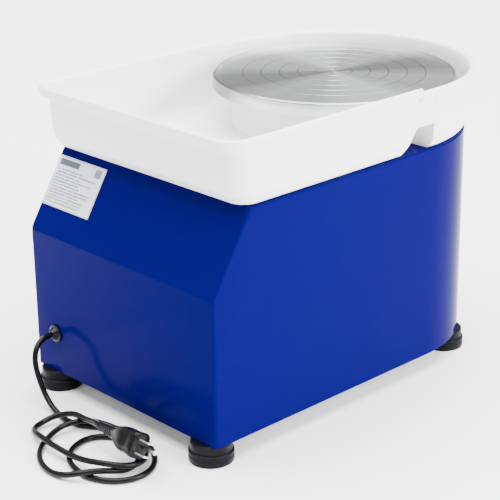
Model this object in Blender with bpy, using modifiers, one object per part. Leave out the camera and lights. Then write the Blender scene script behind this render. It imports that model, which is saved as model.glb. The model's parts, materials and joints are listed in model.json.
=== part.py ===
"""Tabletop pottery wheel with a split basin, as separate named pieces.

Frame: metres, +Z up, the floor at Z = 0, the wheel head towards +X, the controls on +Y.
The origin is the centre of the footprint, under the middle of the overall box.
"""
import math

import bmesh
import bpy
import numpy as np
from mathutils import Euler, Matrix, Vector

# ---------------------------------------------------------------- driving dimensions, in metres
GAP = 0.0003  # air between two pieces that touch

# housing: bent sheet with a straight back, a sloping shoulder and a half-round front
REAR_X = -0.2150
REAR_TO_AXIS = 0.2944
HOUSING_WIDTH = 0.2700
HOUSING_BOTTOM = 0.0214
SHOULDER_Z = 0.1676
SHOULDER_RUN = 0.0472
DECK_TOP = 0.2439
SHEET = 0.0012
CORNER_RADIUS = 0.0020
FLANGE_WIDTH = 0.0180
RECESS_RELIEF = 0.0002

# feet
FOOT_RADIUS = 0.0217
FOOT_TOP_RADIUS = 0.0198
REAR_FOOT_INSET = 0.0126
REAR_FOOT_SPREAD = 0.1139
FRONT_FOOT_FORWARD = 0.0684
FRONT_FOOT_SPREAD = 0.0993
FOOT_BOLT_RADIUS = 0.0030
BASE_SCREW_RADIUS = 0.0018

# basin
RIM_OVERHANG = 0.0095
TRAY_SETBACK = 0.0153
RIM_TOP = 0.3106
GUARD_RIM_DROP = 0.0035
BASIN_WALL = 0.0028
BASIN_CORNER = 0.0240
SEAM_BEFORE_AXIS = 0.0040
RIM_STEP_BEFORE_AXIS = 0.0279
LEDGE_BOTTOM = 0.2710
LEDGE_TOP = 0.2738
NOTCH_BEFORE_AXIS = 0.0288
PEDESTAL_RADIUS = 0.1065
PEDESTAL_TOP = 0.2800

# wheel head and spindle
HEAD_RADIUS = 0.1250
HEAD_TOP = 0.2970
HEAD_THICKNESS = 0.0130
SPINDLE_RADIUS = 0.0085
NECK_RADIUS = 0.0125
BEARING_RADIUS = 0.0200
BEARING_WIDTH = 0.0120
BEARING_WALL = 0.0057
RUNNING_GAP = 0.0004

# belt drive
MOTOR_TO_AXIS = 0.1350
PULLEY_BOTTOM = 0.1810
PULLEY_WIDTH = 0.0160
DRIVEN_RADIUS = 0.0550
DRIVE_RADIUS = 0.0110
PULLEY_FLANGE = 0.0016
BELT_THICKNESS = 0.0022
BELT_WIDTH = 0.0100
MOTOR_RADIUS = 0.0380
MOTOR_LENGTH = 0.1100
MOTOR_SHAFT_RADIUS = 0.0040
MOTOR_PLATE_THICKNESS = 0.0040

# controls on the +Y side
PANEL_X = -0.0500
PANEL_Z = 0.1780
PANEL_LENGTH = 0.1700
PANEL_HEIGHT = 0.0620
PANEL_THICKNESS = 0.0020
KNOB_RADIUS = 0.0150
KNOB_HEIGHT = 0.0090
ROCKER_WIDTH = 0.0110
ROCKER_HEIGHT = 0.0156
ROCKER_TILT = math.radians(8.0)

# rating label on the shoulder
LABEL_WIDTH = 0.0730
LABEL_HEIGHT = 0.0520
LABEL_MARGIN = 0.0020

# mains lead
CORD_DIAMETER = 0.0058
GLAND_Y = 0.1018
GLAND_Z = 0.0636
GLAND_LENGTH = 0.0070
GLAND_INSIDE = 0.0140
GLAND_NECK = 0.0065
PLUG_LENGTH = 0.0660

# ---------------------------------------------------------------- sizes that follow
AXIS_X = REAR_X + REAR_TO_AXIS
HALF_WIDTH = HOUSING_WIDTH / 2
RIM_HALF_WIDTH = HALF_WIDTH + RIM_OVERHANG
TRAY_REAR_X = REAR_X + TRAY_SETBACK
SEAM_X = AXIS_X - SEAM_BEFORE_AXIS
RIM_STEP_X = AXIS_X - RIM_STEP_BEFORE_AXIS
NOTCH_X = AXIS_X - NOTCH_BEFORE_AXIS
BASIN_BOTTOM = DECK_TOP + GAP
BASIN_FLOOR = BASIN_BOTTOM + BASIN_WALL
HEAD_BOTTOM = HEAD_TOP - HEAD_THICKNESS
DECK_UNDER = DECK_TOP - SHEET
MOTOR_X = AXIS_X - MOTOR_TO_AXIS
PULLEY_TOP = PULLEY_BOTTOM + PULLEY_WIDTH
PULLEY_MIDDLE = PULLEY_BOTTOM + PULLEY_WIDTH / 2
PLATE_TOP = PULLEY_BOTTOM - 0.0025
PLATE_BOTTOM = PLATE_TOP - MOTOR_PLATE_THICKNESS
PANEL_INNER_Y = HALF_WIDTH + GAP
PANEL_FACE_Y = PANEL_INNER_Y + PANEL_THICKNESS
BASE_TOP = HOUSING_BOTTOM + SHEET
FLANGE_BOTTOM = BASE_TOP + GAP
FLANGE_TOP = FLANGE_BOTTOM + SHEET
FAR = 0.6  # long enough to cut right across the object
CORNER_STEPS = 4
FRONT_STEPS = 26
PEDESTAL_STEPS = 40

PARTS = None
CUTTERS = None


# ---------------------------------------------------------------- tools
def clear_scene():
    """Empty the scene and make the two collections."""
    global PARTS, CUTTERS
    for obj in list(bpy.data.objects):
        bpy.data.objects.remove(obj, do_unlink=True)
    PARTS = bpy.data.collections.new("pottery_wheel")
    CUTTERS = bpy.data.collections.new("cutters")
    bpy.context.scene.collection.children.link(PARTS)
    bpy.context.scene.collection.children.link(CUTTERS)


def finish(name, colour, roughness, metallic=0.0):
    """A plain material for one finish, made once."""
    found = bpy.data.materials.get(name)
    if found:
        return found
    made = bpy.data.materials.new(name)
    made.use_nodes = True
    shader = made.node_tree.nodes["Principled BSDF"]
    shader.inputs["Base Color"].default_value = (*colour, 1.0)
    shader.inputs["Roughness"].default_value = roughness
    shader.inputs["Metallic"].default_value = metallic
    made.diffuse_color = (*colour, 1.0)
    return made


def place(name, data, look=None, at=(0.0, 0.0, 0.0)):
    """Put mesh or curve data in the scene: a part when it has a finish, else a cutter."""
    obj = bpy.data.objects.new(name, data)
    obj.location = at
    if look is None:
        obj.hide_render = True
        obj.display_type = "WIRE"
        CUTTERS.objects.link(obj)
    else:
        data.materials.append(look)
        PARTS.objects.link(obj)
    return obj


def mesh_of(bm, name):
    """Turn a bmesh into mesh data, smooth on its round sides."""
    data = bpy.data.meshes.new(name)
    bm.to_mesh(data)
    bm.free()
    data.shade_smooth()
    data.set_sharp_from_angle(angle=math.radians(35.0))
    return data


def block(name, low, high, look=None, at=(0.0, 0.0, 0.0), bevel=0.0):
    """A box between two corners, given in the object's own frame."""
    bm = bmesh.new()
    size = [high[i] - low[i] for i in range(3)]
    middle = [(high[i] + low[i]) / 2 for i in range(3)]
    bmesh.ops.create_cube(bm, size=1.0, matrix=Matrix.Translation(middle) @ Matrix.Diagonal((*size, 1.0)))
    obj = place(name, mesh_of(bm, name), look, at)
    if bevel:
        round_edges(obj, bevel)
    return obj


def rod(name, radius, start, end, look=None, sides=16, at=(0.0, 0.0, 0.0)):
    """A cylinder from start to end, given in the object's own frame."""
    bm = bmesh.new()
    run = Vector(end) - Vector(start)
    turn = run.to_track_quat("Z", "Y").to_matrix().to_4x4()
    middle = Matrix.Translation((Vector(start) + Vector(end)) / 2)
    bmesh.ops.create_cone(bm, cap_ends=True, segments=sides, radius1=radius, radius2=radius,
                          depth=run.length, matrix=middle @ turn)
    return place(name, mesh_of(bm, name), look, at)


def turned(name, profile, look=None, at=(0.0, 0.0, 0.0), steps=20, closed=False, axis="Z"):
    """A lathe shape about the object's own axis, from (radius, height) points down the outer side."""
    data = bpy.data.meshes.new(name)
    count = len(profile)
    if axis == "Z":
        points = [(r, 0.0, h) for r, h in profile]
    elif axis == "Y":
        points = [(0.0, h, r) for r, h in profile]
    else:
        points = [(h, r, 0.0) for r, h in profile]
    edges = [(i, i + 1) for i in range(count - 1)]
    if closed:
        edges.append((count - 1, 0))
    data.from_pydata(points, edges, [])
    obj = place(name, data, look, at)
    spin = obj.modifiers.new("turn", "SCREW")
    spin.axis = axis
    spin.steps = steps
    spin.render_steps = steps
    spin.use_merge_vertices = True
    spin.merge_threshold = 0.00001
    spin.use_smooth_shade = True
    return obj


def flat_plate(name, loops, thickness, look=None, turn=None):
    """A plate from flat outlines in XY, centred on its thickness; later loops are holes."""
    curve = bpy.data.curves.new(name + "_outline", "CURVE")
    curve.dimensions = "2D"
    curve.fill_mode = "BOTH"
    curve.extrude = thickness / 2
    for loop in loops:
        spline = curve.splines.new("POLY")
        spline.points.add(len(loop) - 1)
        for point, (x, y) in zip(spline.points, loop):
            point.co = (x, y, 0.0, 1.0)
        spline.use_cyclic_u = True
    guide = bpy.data.objects.new(name + "_outline", curve)
    CUTTERS.objects.link(guide)
    graph = bpy.context.evaluated_depsgraph_get()
    graph.update()
    data = bpy.data.meshes.new_from_object(guide.evaluated_get(graph))
    bpy.data.objects.remove(guide, do_unlink=True)
    bm = bmesh.new()
    bm.from_mesh(data)
    bmesh.ops.remove_doubles(bm, verts=bm.verts, dist=0.00001)
    if turn is not None:
        bmesh.ops.transform(bm, matrix=turn, verts=bm.verts)
    return place(name, mesh_of(bm, name), look)


def upright(offset=0.0):
    """The matrix that stands an XY outline up in XZ, with its thickness along Y."""
    return Matrix.Translation((0.0, offset, 0.0)) @ Matrix.Rotation(math.radians(90.0), 4, "X")


def loft(name, sections, look=None):
    """A closed body through rings with the same number of points, with flat ends."""
    bm = bmesh.new()
    rings = [[bm.verts.new(point) for point in ring] for ring in sections]
    count = len(rings[0])
    for lower, upper in zip(rings, rings[1:]):
        for i in range(count):
            j = (i + 1) % count
            bm.faces.new((lower[i], lower[j], upper[j], upper[i]))
    bm.faces.new(list(reversed(rings[0])))
    bm.faces.new(rings[-1])
    bmesh.ops.recalc_face_normals(bm, faces=bm.faces)
    bmesh.ops.triangulate(bm, faces=bm.faces)
    return place(name, mesh_of(bm, name), look)


def boolean(obj, other, operation="DIFFERENCE"):
    """Cut, join or keep the common part with another object."""
    step = obj.modifiers.new(other.name, "BOOLEAN")
    step.operation = operation
    step.object = other
    return obj


def round_edges(obj, width, segments=2):
    """Round the sharp edges of an object."""
    bevel = obj.modifiers.new("edges", "BEVEL")
    bevel.width = width
    bevel.segments = segments
    bevel.limit_method = "ANGLE"
    bevel.angle_limit = math.radians(40.0)


def plan_outline(rear_x, half_width, corner, z):
    """Plan of the machine: two rounded rear corners, straight sides and a half-round front."""
    points = []
    for side, first in ((-1, 180.0), (1, 90.0)):
        centre = (rear_x + corner, side * (half_width - corner))
        for step in range(CORNER_STEPS + 1):
            angle = math.radians(first + 90.0 * step / CORNER_STEPS)
            points.append((centre[0] + corner * math.cos(angle), centre[1] + corner * math.sin(angle), z))
    front = []
    for step in range(FRONT_STEPS + 1):
        angle = math.radians(-90.0 + 180.0 * step / FRONT_STEPS)
        front.append((AXIS_X + half_width * math.cos(angle), half_width * math.sin(angle), z))
    return points[:CORNER_STEPS + 1] + front + points[CORNER_STEPS + 1:]


# ---------------------------------------------------------------- housing
def shoulder_cutter(name, inset):
    """The wedge behind the sloping shoulder, moved inwards by a wall."""
    rise = DECK_TOP - SHOULDER_Z
    length = math.hypot(rise, SHOULDER_RUN)
    along = (SHOULDER_RUN / length, rise / length)
    inward = (along[1], -along[0])
    foot = (REAR_X + inset * inward[0], SHOULDER_Z + inset * inward[1])
    low = (foot[0] - 0.1 * along[0], foot[1] - 0.1 * along[1])
    high = (foot[0] + 0.3 * along[0], foot[1] + 0.3 * along[1])
    corner = (low[0] - 0.2, high[1])
    return flat_plate(name, [[low, high, corner]], FAR, turn=upright())


def build_housing():
    """The bent sheet housing and the plate that closes it from below."""
    blue = finish("blue_enamel", (0.010, 0.040, 0.36), 0.22)
    zinc = finish("zinc_plate", (0.55, 0.56, 0.58), 0.45, 1.0)
    shell = loft("housing_shell", [plan_outline(REAR_X, HALF_WIDTH, CORNER_RADIUS, HOUSING_BOTTOM),
                                   plan_outline(REAR_X, HALF_WIDTH, CORNER_RADIUS, DECK_TOP)], blue)
    boolean(shell, shoulder_cutter("shoulder_outside", 0.0))
    inner_rear = REAR_X + SHEET
    inner_half = HALF_WIDTH - SHEET
    inner_corner = CORNER_RADIUS - SHEET
    inside = loft("housing_inside", [plan_outline(inner_rear, inner_half, inner_corner, FLANGE_TOP),
                                     plan_outline(inner_rear, inner_half, inner_corner, DECK_UNDER)])
    boolean(inside, shoulder_cutter("shoulder_inside", SHEET))
    boolean(shell, inside)
    recess = [plan_outline(inner_rear - RECESS_RELIEF, inner_half + RECESS_RELIEF, CORNER_RADIUS - SHEET / 2, z)
              for z in (0.0, FLANGE_BOTTOM)]
    boolean(shell, loft("base_recess", recess))
    opening_rear = REAR_X + FLANGE_WIDTH
    opening_half = HALF_WIDTH - FLANGE_WIDTH
    boolean(shell, loft("base_opening", [plan_outline(opening_rear, opening_half, 0.004, 0.0),
                                         plan_outline(opening_rear, opening_half, 0.004, FLANGE_TOP + 0.002)]))
    deck_hole = BEARING_RADIUS + BEARING_WALL + 0.004
    boolean(shell, rod("deck_hole", deck_hole, (AXIS_X, 0, DECK_TOP - 0.02), (AXIS_X, 0, DECK_TOP + 0.02)))
    boolean(shell, block("panel_window", (-PANEL_LENGTH / 2 + 0.012, -0.02, -PANEL_HEIGHT / 2 + 0.012),
                         (PANEL_LENGTH / 2 - 0.012, 0.02, PANEL_HEIGHT / 2 - 0.012),
                         at=(PANEL_X, HALF_WIDTH, PANEL_Z)))
    boolean(shell, rod("gland_hole", GLAND_NECK + GAP, (REAR_X - 0.02, GLAND_Y, GLAND_Z),
                       (REAR_X + 0.02, GLAND_Y, GLAND_Z)))
    plate_rear = inner_rear + GAP
    plate_half = inner_half - GAP
    plate = loft("base_plate", [plan_outline(plate_rear, plate_half, inner_corner, HOUSING_BOTTOM),
                                plan_outline(plate_rear, plate_half, inner_corner, BASE_TOP)], zinc)
    for row in range(2):
        for column in range(5):
            x = MOTOR_X - 0.020 + 0.010 * column
            y = -0.030 + 0.060 * row
            slot = block("vent_slot_%d%d" % (row, column), (-0.002, -0.018, -0.01), (0.002, 0.018, 0.01),
                         at=(x, y, HOUSING_BOTTOM))
            boolean(plate, slot)
    for name, x, y in foot_places():
        hole = rod("hole_" + name, FOOT_BOLT_RADIUS + GAP, (x, y, 0.0), (x, y, FLANGE_TOP + 0.01), sides=16)
        boolean(plate, hole)
        boolean(shell, hole)
    for name, x, y in base_screw_places():
        hole = rod("hole_" + name, BASE_SCREW_RADIUS + GAP, (x, y, 0.0), (x, y, FLANGE_TOP + 0.01), sides=12)
        boolean(plate, hole)
        boolean(shell, hole)


def foot_places():
    """Name and place of each foot."""
    rear = REAR_X + REAR_FOOT_INSET
    front = AXIS_X + FRONT_FOOT_FORWARD
    return [("rear_left", rear, REAR_FOOT_SPREAD), ("rear_right", rear, -REAR_FOOT_SPREAD),
            ("front_left", front, FRONT_FOOT_SPREAD), ("front_right", front, -FRONT_FOOT_SPREAD)]


def base_screw_places():
    """Name and place of each screw that holds the base plate to the housing's flange."""
    line = HALF_WIDTH - FLANGE_WIDTH / 2
    return [("base_screw_1", AXIS_X - 0.060, line), ("base_screw_2", AXIS_X - 0.060, -line),
            ("base_screw_3", REAR_X + 0.110, line), ("base_screw_4", REAR_X + 0.110, -line)]


def screw_profile(head_radius, head_height, shank_radius, length, downwards):
    """Profile of a pan-head screw from its seat at height 0, head down or head up."""
    if downwards:
        return [(0.0, length), (shank_radius, length), (shank_radius, 0.0), (head_radius, 0.0),
                (head_radius, -head_height * 0.5), (head_radius * 0.7, -head_height), (0.0, -head_height)]
    return [(0.0, head_height), (head_radius * 0.7, head_height), (head_radius, head_height * 0.5),
            (head_radius, 0.0), (shank_radius, 0.0), (shank_radius, -length), (0.0, -length)]


def build_feet():
    """Four rubber feet, each held by a bolt through the base plate and the flange."""
    rubber = finish("black_rubber", (0.012, 0.012, 0.013), 0.65)
    zinc = finish("zinc_plate", (0.55, 0.56, 0.58), 0.45, 1.0)
    top = HOUSING_BOTTOM - GAP
    seat = 0.0100
    recess = 0.0085
    bore = FOOT_BOLT_RADIUS + GAP
    for name, x, y in foot_places():
        turned("foot_" + name, [(bore, top), (FOOT_TOP_RADIUS - 0.001, top), (FOOT_TOP_RADIUS, top - 0.001),
                                (FOOT_TOP_RADIUS + 0.0004, 0.0125), (FOOT_RADIUS, 0.0115), (FOOT_RADIUS, 0.0012),
                                (FOOT_RADIUS - 0.0012, 0.0), (recess, 0.0), (recess, seat), (bore, seat)],
               rubber, (x, y, 0.0), closed=True)
        turned("foot_bolt_" + name, screw_profile(0.0070, 0.0040, FOOT_BOLT_RADIUS, 0.0200, True),
               zinc, (x, y, seat - GAP), steps=10)
    for name, x, y in base_screw_places():
        turned(name, screw_profile(0.0040, 0.0020, BASE_SCREW_RADIUS, 0.0070, True), zinc,
               (x, y, HOUSING_BOTTOM - GAP), steps=10)


# ---------------------------------------------------------------- basin
def basin_rings(rim_drop, filled=False):
    """Rings up the outside of the basin, over its rim and down the inside.

    Each row is height, setback from the rim's rear, setback from its side, and plan corner.
    """
    rim = RIM_TOP - rim_drop
    corner = BASIN_CORNER
    low = BASIN_BOTTOM
    floor = BASIN_FLOOR
    wall = BASIN_WALL
    thick = 1.1 * BASIN_WALL
    outside = [(low, 0.0310, 0.0150, corner - 0.008), (low + 0.0018, 0.0225, 0.0105, corner - 0.008),
               (low + 0.0075, 0.0180, 0.0080, corner - 0.007), (low + 0.0128, 0.0135, 0.0062, corner - 0.006),
               (low + 0.0455, 0.0105, 0.0055, corner - 0.005), (rim - 0.0101, 0.0098, 0.0052, corner - 0.005)]
    rolled = [(rim - 0.0094, 0.0020, 0.0020, corner), (rim - 0.0086, 0.0004, 0.0004, corner),
              (rim - 0.0021, 0.0, 0.0, corner), (rim, 0.0018, 0.0018, corner - 0.001),
              (rim, 0.0060, 0.0048, corner - 0.004), (rim - 0.0024, 0.0100, 0.0070, corner - 0.005)]
    inside = [(rim - 0.0106, 0.0098 + wall, 0.0052 + wall, corner - 0.007),
              (low + 0.0455, 0.0105 + wall, 0.0055 + wall, corner - 0.008),
              (low + 0.0128, 0.0135 + wall, 0.0062 + wall, corner - 0.009),
              (floor + 0.0050, 0.0180 + thick, 0.0080 + thick, corner - 0.010),
              (floor + 0.0012, 0.0225 + thick, 0.0105 + thick, corner - 0.011),
              (floor, 0.0310 + wall, 0.0150 + wall, corner - 0.012)]
    rows = outside + rolled + inside
    if filled:
        rows = [(z, rear + 0.001, side + 0.001, radius) for z, rear, side, radius in outside]
    return [plan_outline(TRAY_REAR_X + rear, RIM_HALF_WIDTH - side, radius, z) for z, rear, side, radius in rows]


def pedestal(name):
    """The raised round part of the basin floor under the wheel head, hollow below."""
    hole = NECK_RADIUS + 0.0025
    wall = BASIN_WALL
    top = PEDESTAL_TOP
    foot = BASIN_BOTTOM + 0.0007
    radius = PEDESTAL_RADIUS
    return turned(name, [(hole, top), (radius - 0.0070, top), (radius - 0.0035, top - 0.0025),
                         (radius - 0.0015, BASIN_FLOOR + 0.003), (radius, foot), (radius - wall, foot),
                         (radius - 0.0015 - wall, BASIN_FLOOR + 0.003), (radius - 0.0035 - wall, top - 0.0045),
                         (radius - 0.0070 - wall, top - wall), (hole, top - wall)],
                  at=(AXIS_X, 0, 0), steps=PEDESTAL_STEPS, closed=True)


def basin_half(name, rim_drop, look):
    """A whole basin with its pedestal, before the split."""
    half = loft(name, basin_rings(rim_drop), look)
    centre = rod(name + "_floor_hole", PEDESTAL_RADIUS - BASIN_WALL / 2, (AXIS_X, 0, BASIN_BOTTOM - 0.01),
                 (AXIS_X, 0, BASIN_FLOOR + 0.001), sides=PEDESTAL_STEPS)
    boolean(half, centre)
    boolean(half, pedestal(name + "_pedestal"), "UNION")
    return half


def end_wall(name, outline, rim_drop):
    """A wall across the basin's moat at the split, kept between the outer wall and the pedestal."""
    wall = flat_plate(name, [outline], FAR, turn=upright())
    boolean(wall, loft(name + "_bounds", basin_rings(rim_drop, filled=True)), "INTERSECT")
    boolean(wall, rod(name + "_core", PEDESTAL_RADIUS - 0.0035, (AXIS_X, 0, 0.2),
                      (AXIS_X, 0, PEDESTAL_TOP + 0.05), sides=PEDESTAL_STEPS))
    return wall


def build_basin():
    """The rear tray and the front splash guard, which part at a seam beside the spindle."""
    white = finish("white_plastic", (0.86, 0.87, 0.87), 0.35)
    low = BASIN_BOTTOM + 0.0006
    below = BASIN_BOTTOM - 0.0142
    saddle = [(NOTCH_X - 0.0246, low), (NOTCH_X - 0.0190, LEDGE_TOP - 0.0223), (NOTCH_X - 0.0122, LEDGE_TOP - 0.0159),
              (NOTCH_X - 0.0068, LEDGE_TOP - 0.0094), (NOTCH_X - 0.0038, LEDGE_TOP - 0.0032), (NOTCH_X, LEDGE_TOP),
              (SEAM_X + 0.01, LEDGE_TOP), (SEAM_X + 0.01, low)]
    notch = [(NOTCH_X - 0.0215, below), (NOTCH_X - 0.0180, LEDGE_BOTTOM - 0.0242),
             (NOTCH_X - 0.0130, LEDGE_BOTTOM - 0.0187), (NOTCH_X - 0.0078, LEDGE_BOTTOM - 0.0115),
             (NOTCH_X - 0.0040, LEDGE_BOTTOM - 0.0050), (NOTCH_X, LEDGE_BOTTOM),
             (SEAM_X + 0.02, LEDGE_BOTTOM), (SEAM_X + 0.02, below)]
    tray = basin_half("basin_tray", 0.0, white)
    boolean(tray, end_wall("tray_end_wall", saddle, 0.0), "UNION")
    opening = flat_plate("tray_notch", [notch], FAR, turn=upright())
    boolean(opening, rod("tray_notch_core", PEDESTAL_RADIUS + 0.0007, (AXIS_X, 0, BASIN_BOTTOM - 0.03),
                         (AXIS_X, 0, PEDESTAL_TOP + 0.05), sides=PEDESTAL_STEPS))
    boolean(tray, opening)
    boolean(tray, block("tray_front", (SEAM_X, -FAR, 0.0), (FAR, FAR, FAR)))
    hook_bottom = RIM_TOP - GUARD_RIM_DROP - 0.0094
    boolean(tray, block("tray_rim_step", (RIM_STEP_X, -FAR, hook_bottom - GAP), (FAR, FAR, FAR)))

    guard = basin_half("splash_guard", GUARD_RIM_DROP, white)
    seam = SEAM_X + GAP
    behind = seam - BASIN_WALL / 2
    face = [(behind, low), (behind, LEDGE_TOP), (seam + BASIN_WALL, LEDGE_TOP), (seam + BASIN_WALL, low)]
    boolean(guard, end_wall("guard_end_wall", face, GUARD_RIM_DROP), "UNION")
    boolean(guard, block("guard_rear", (-FAR, -FAR, 0.0), (seam, FAR, hook_bottom)))
    boolean(guard, block("guard_rear_rim", (-FAR, -FAR, hook_bottom - 0.02), (RIM_STEP_X + GAP, FAR, FAR)))


# ---------------------------------------------------------------- wheel head, spindle and bearings
def build_wheel():
    """The wheel head on its spindle, running in two ball bearings in a flanged housing."""
    alloy = finish("turned_aluminium", (0.80, 0.81, 0.82), 0.30, 1.0)
    steel = finish("bright_steel", (0.62, 0.63, 0.65), 0.28, 1.0)
    iron = finish("cast_iron", (0.09, 0.09, 0.10), 0.60, 1.0)
    zinc = finish("zinc_plate", (0.55, 0.56, 0.58), 0.45, 1.0)
    centre = (AXIS_X, 0.0, 0.0)
    turned("wheel_head", [(0.0, HEAD_TOP), (HEAD_RADIUS - 0.0008, HEAD_TOP), (HEAD_RADIUS, HEAD_TOP - 0.0008),
                          (HEAD_RADIUS, HEAD_BOTTOM + 0.0010), (HEAD_RADIUS - 0.0010, HEAD_BOTTOM),
                          (0.0, HEAD_BOTTOM)], alloy, centre, steps=56)
    hub_top = HEAD_BOTTOM - GAP
    hub_seat = PEDESTAL_TOP + 0.0012
    collar = 0.2700
    turned("head_hub", [(0.0, hub_top), (0.0280, hub_top), (0.0280, hub_seat), (NECK_RADIUS, hub_seat),
                        (NECK_RADIUS, collar), (0.0, collar)], steel, centre)
    upper_top = collar - 0.0010
    lower_bottom = PULLEY_TOP + 0.0085
    bore = BEARING_RADIUS + GAP
    wall = bore + BEARING_WALL
    flange = wall + 0.0190
    flange_top = DECK_UNDER - GAP
    turned("bearing_housing", [(bore, upper_top), (wall, upper_top), (wall, flange_top), (flange, flange_top),
                               (flange, flange_top - 0.0060), (wall, flange_top - 0.0060),
                               (wall, lower_bottom), (bore, lower_bottom)], iron, centre, closed=True)
    bearing_bore = SPINDLE_RADIUS + RUNNING_GAP
    for name, bottom in (("bearing_upper", upper_top - BEARING_WIDTH - 0.001), ("bearing_lower", lower_bottom + 0.001)):
        top = bottom + BEARING_WIDTH
        turned(name, [(bearing_bore, top), (BEARING_RADIUS, top), (BEARING_RADIUS, bottom), (bearing_bore, bottom)],
               steel, centre, closed=True)
    turned("spindle", [(0.0, collar - GAP), (SPINDLE_RADIUS, collar - GAP), (SPINDLE_RADIUS, PULLEY_BOTTOM - 0.014),
                       (0.0, PULLEY_BOTTOM - 0.014)], steel, centre)
    nut_bore = (SPINDLE_RADIUS + GAP) / math.cos(math.radians(30.0))
    nut_top = PULLEY_BOTTOM - GAP
    turned("spindle_nut", [(nut_bore, nut_top), (nut_bore + 0.0050, nut_top), (nut_bore + 0.0050, nut_top - 0.0097),
                           (nut_bore, nut_top - 0.0097)], zinc, centre, steps=6, closed=True)
    pitch = (wall + flange) / 2
    for index in range(3):
        angle = math.radians(30.0 + 120.0 * index)
        spot = (AXIS_X + pitch * math.cos(angle), pitch * math.sin(angle))
        hole = rod("hole_bearing_%d" % (index + 1), 0.0025 + GAP, (*spot, flange_top - 0.02),
                   (*spot, DECK_TOP + 0.01), sides=16)
        boolean(bpy.data.objects["bearing_housing"], hole)
        boolean(bpy.data.objects["housing_shell"], hole)
        turned("bearing_screw_%d" % (index + 1), screw_profile(0.0045, 0.0024, 0.0025, 0.0082, True), zinc,
               (*spot, flange_top - 0.0060 - GAP), steps=10)


# ---------------------------------------------------------------- motor and belt drive
def pulley_profile(radius, bore):
    """A flanged pulley with a flat belt seat."""
    lip = radius + PULLEY_FLANGE
    edge = (PULLEY_WIDTH - BELT_WIDTH) / 2 - 0.0008
    return [(bore, PULLEY_TOP), (lip, PULLEY_TOP), (lip, PULLEY_TOP - edge), (radius, PULLEY_TOP - edge - 0.0004),
            (radius, PULLEY_BOTTOM + edge + 0.0004), (lip, PULLEY_BOTTOM + edge), (lip, PULLEY_BOTTOM),
            (bore, PULLEY_BOTTOM)]


def belt_loop(offset):
    """The path round both pulleys, held off their seats by an offset."""
    large = DRIVEN_RADIUS + offset
    small = DRIVE_RADIUS + offset
    wrap = math.acos((large - small) / MOTOR_TO_AXIS)
    points = []
    for step in range(33):
        angle = wrap + (2 * math.pi - 2 * wrap) * step / 32
        points.append((AXIS_X - large * math.cos(angle), large * math.sin(angle)))
    for step in range(13):
        angle = -wrap + 2 * wrap * step / 12
        points.append((MOTOR_X - small * math.cos(angle), small * math.sin(angle)))
    return points


def build_drive():
    """The motor on its hanging plate, and the belt drive above the plate."""
    steel = finish("bright_steel", (0.62, 0.63, 0.65), 0.28, 1.0)
    zinc = finish("zinc_plate", (0.55, 0.56, 0.58), 0.45, 1.0)
    black = finish("black_paint", (0.02, 0.02, 0.022), 0.45)
    rubber = finish("black_rubber", (0.012, 0.012, 0.013), 0.65)
    alloy = finish("turned_aluminium", (0.80, 0.81, 0.82), 0.30, 1.0)
    motor = (MOTOR_X, 0.0, 0.0)
    half_length = MOTOR_RADIUS + 0.020
    half_breadth = DRIVEN_RADIUS + 0.005
    plate = block("motor_plate", (MOTOR_X - half_length, -half_breadth, PLATE_BOTTOM),
                  (MOTOR_X + half_length - 0.016, half_breadth, PLATE_TOP), zinc)
    boolean(plate, rod("shaft_hole", 0.0140, (MOTOR_X, 0, PLATE_BOTTOM - 0.01), (MOTOR_X, 0, PLATE_TOP + 0.01)))
    stand_x = (MOTOR_X - half_length + 0.008, MOTOR_X + half_length - 0.024)
    for index, (x, side) in enumerate([(x, side) for x in stand_x for side in (-1, 1)]):
        y = side * (half_breadth - 0.008)
        rod("standoff_%d" % (index + 1), 0.0050, (x, y, PLATE_TOP + GAP), (x, y, DECK_UNDER - GAP), zinc, sides=16)
    top = PLATE_BOTTOM - GAP
    bottom = top - MOTOR_LENGTH
    shaft_bore = MOTOR_SHAFT_RADIUS + RUNNING_GAP
    turned("motor_body", [(shaft_bore, top), (MOTOR_RADIUS - 0.003, top), (MOTOR_RADIUS, top - 0.003),
                          (MOTOR_RADIUS, bottom), (shaft_bore, bottom)], black, motor, steps=24, closed=True)
    turned("motor_end_bell", [(0.0, bottom - GAP), (MOTOR_RADIUS - 0.002, bottom - GAP),
                              (MOTOR_RADIUS - 0.002, bottom - 0.012), (0.016, bottom - 0.020),
                              (0.0, bottom - 0.020)], alloy, motor, steps=24)
    turned("motor_shaft", [(0.0, PULLEY_TOP + 0.002), (MOTOR_SHAFT_RADIUS, PULLEY_TOP + 0.002),
                           (MOTOR_SHAFT_RADIUS, bottom + 0.002), (0.0, bottom + 0.002)], steel, motor, steps=20)
    turned("drive_pulley", pulley_profile(DRIVE_RADIUS, MOTOR_SHAFT_RADIUS + GAP), alloy, motor, closed=True)
    turned("driven_pulley", pulley_profile(DRIVEN_RADIUS, SPINDLE_RADIUS + GAP), alloy, (AXIS_X, 0, 0),
           steps=32, closed=True)
    flat_plate("drive_belt", [belt_loop(GAP + BELT_THICKNESS), belt_loop(GAP)], BELT_WIDTH, rubber,
               Matrix.Translation((0, 0, PULLEY_MIDDLE)))


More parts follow.
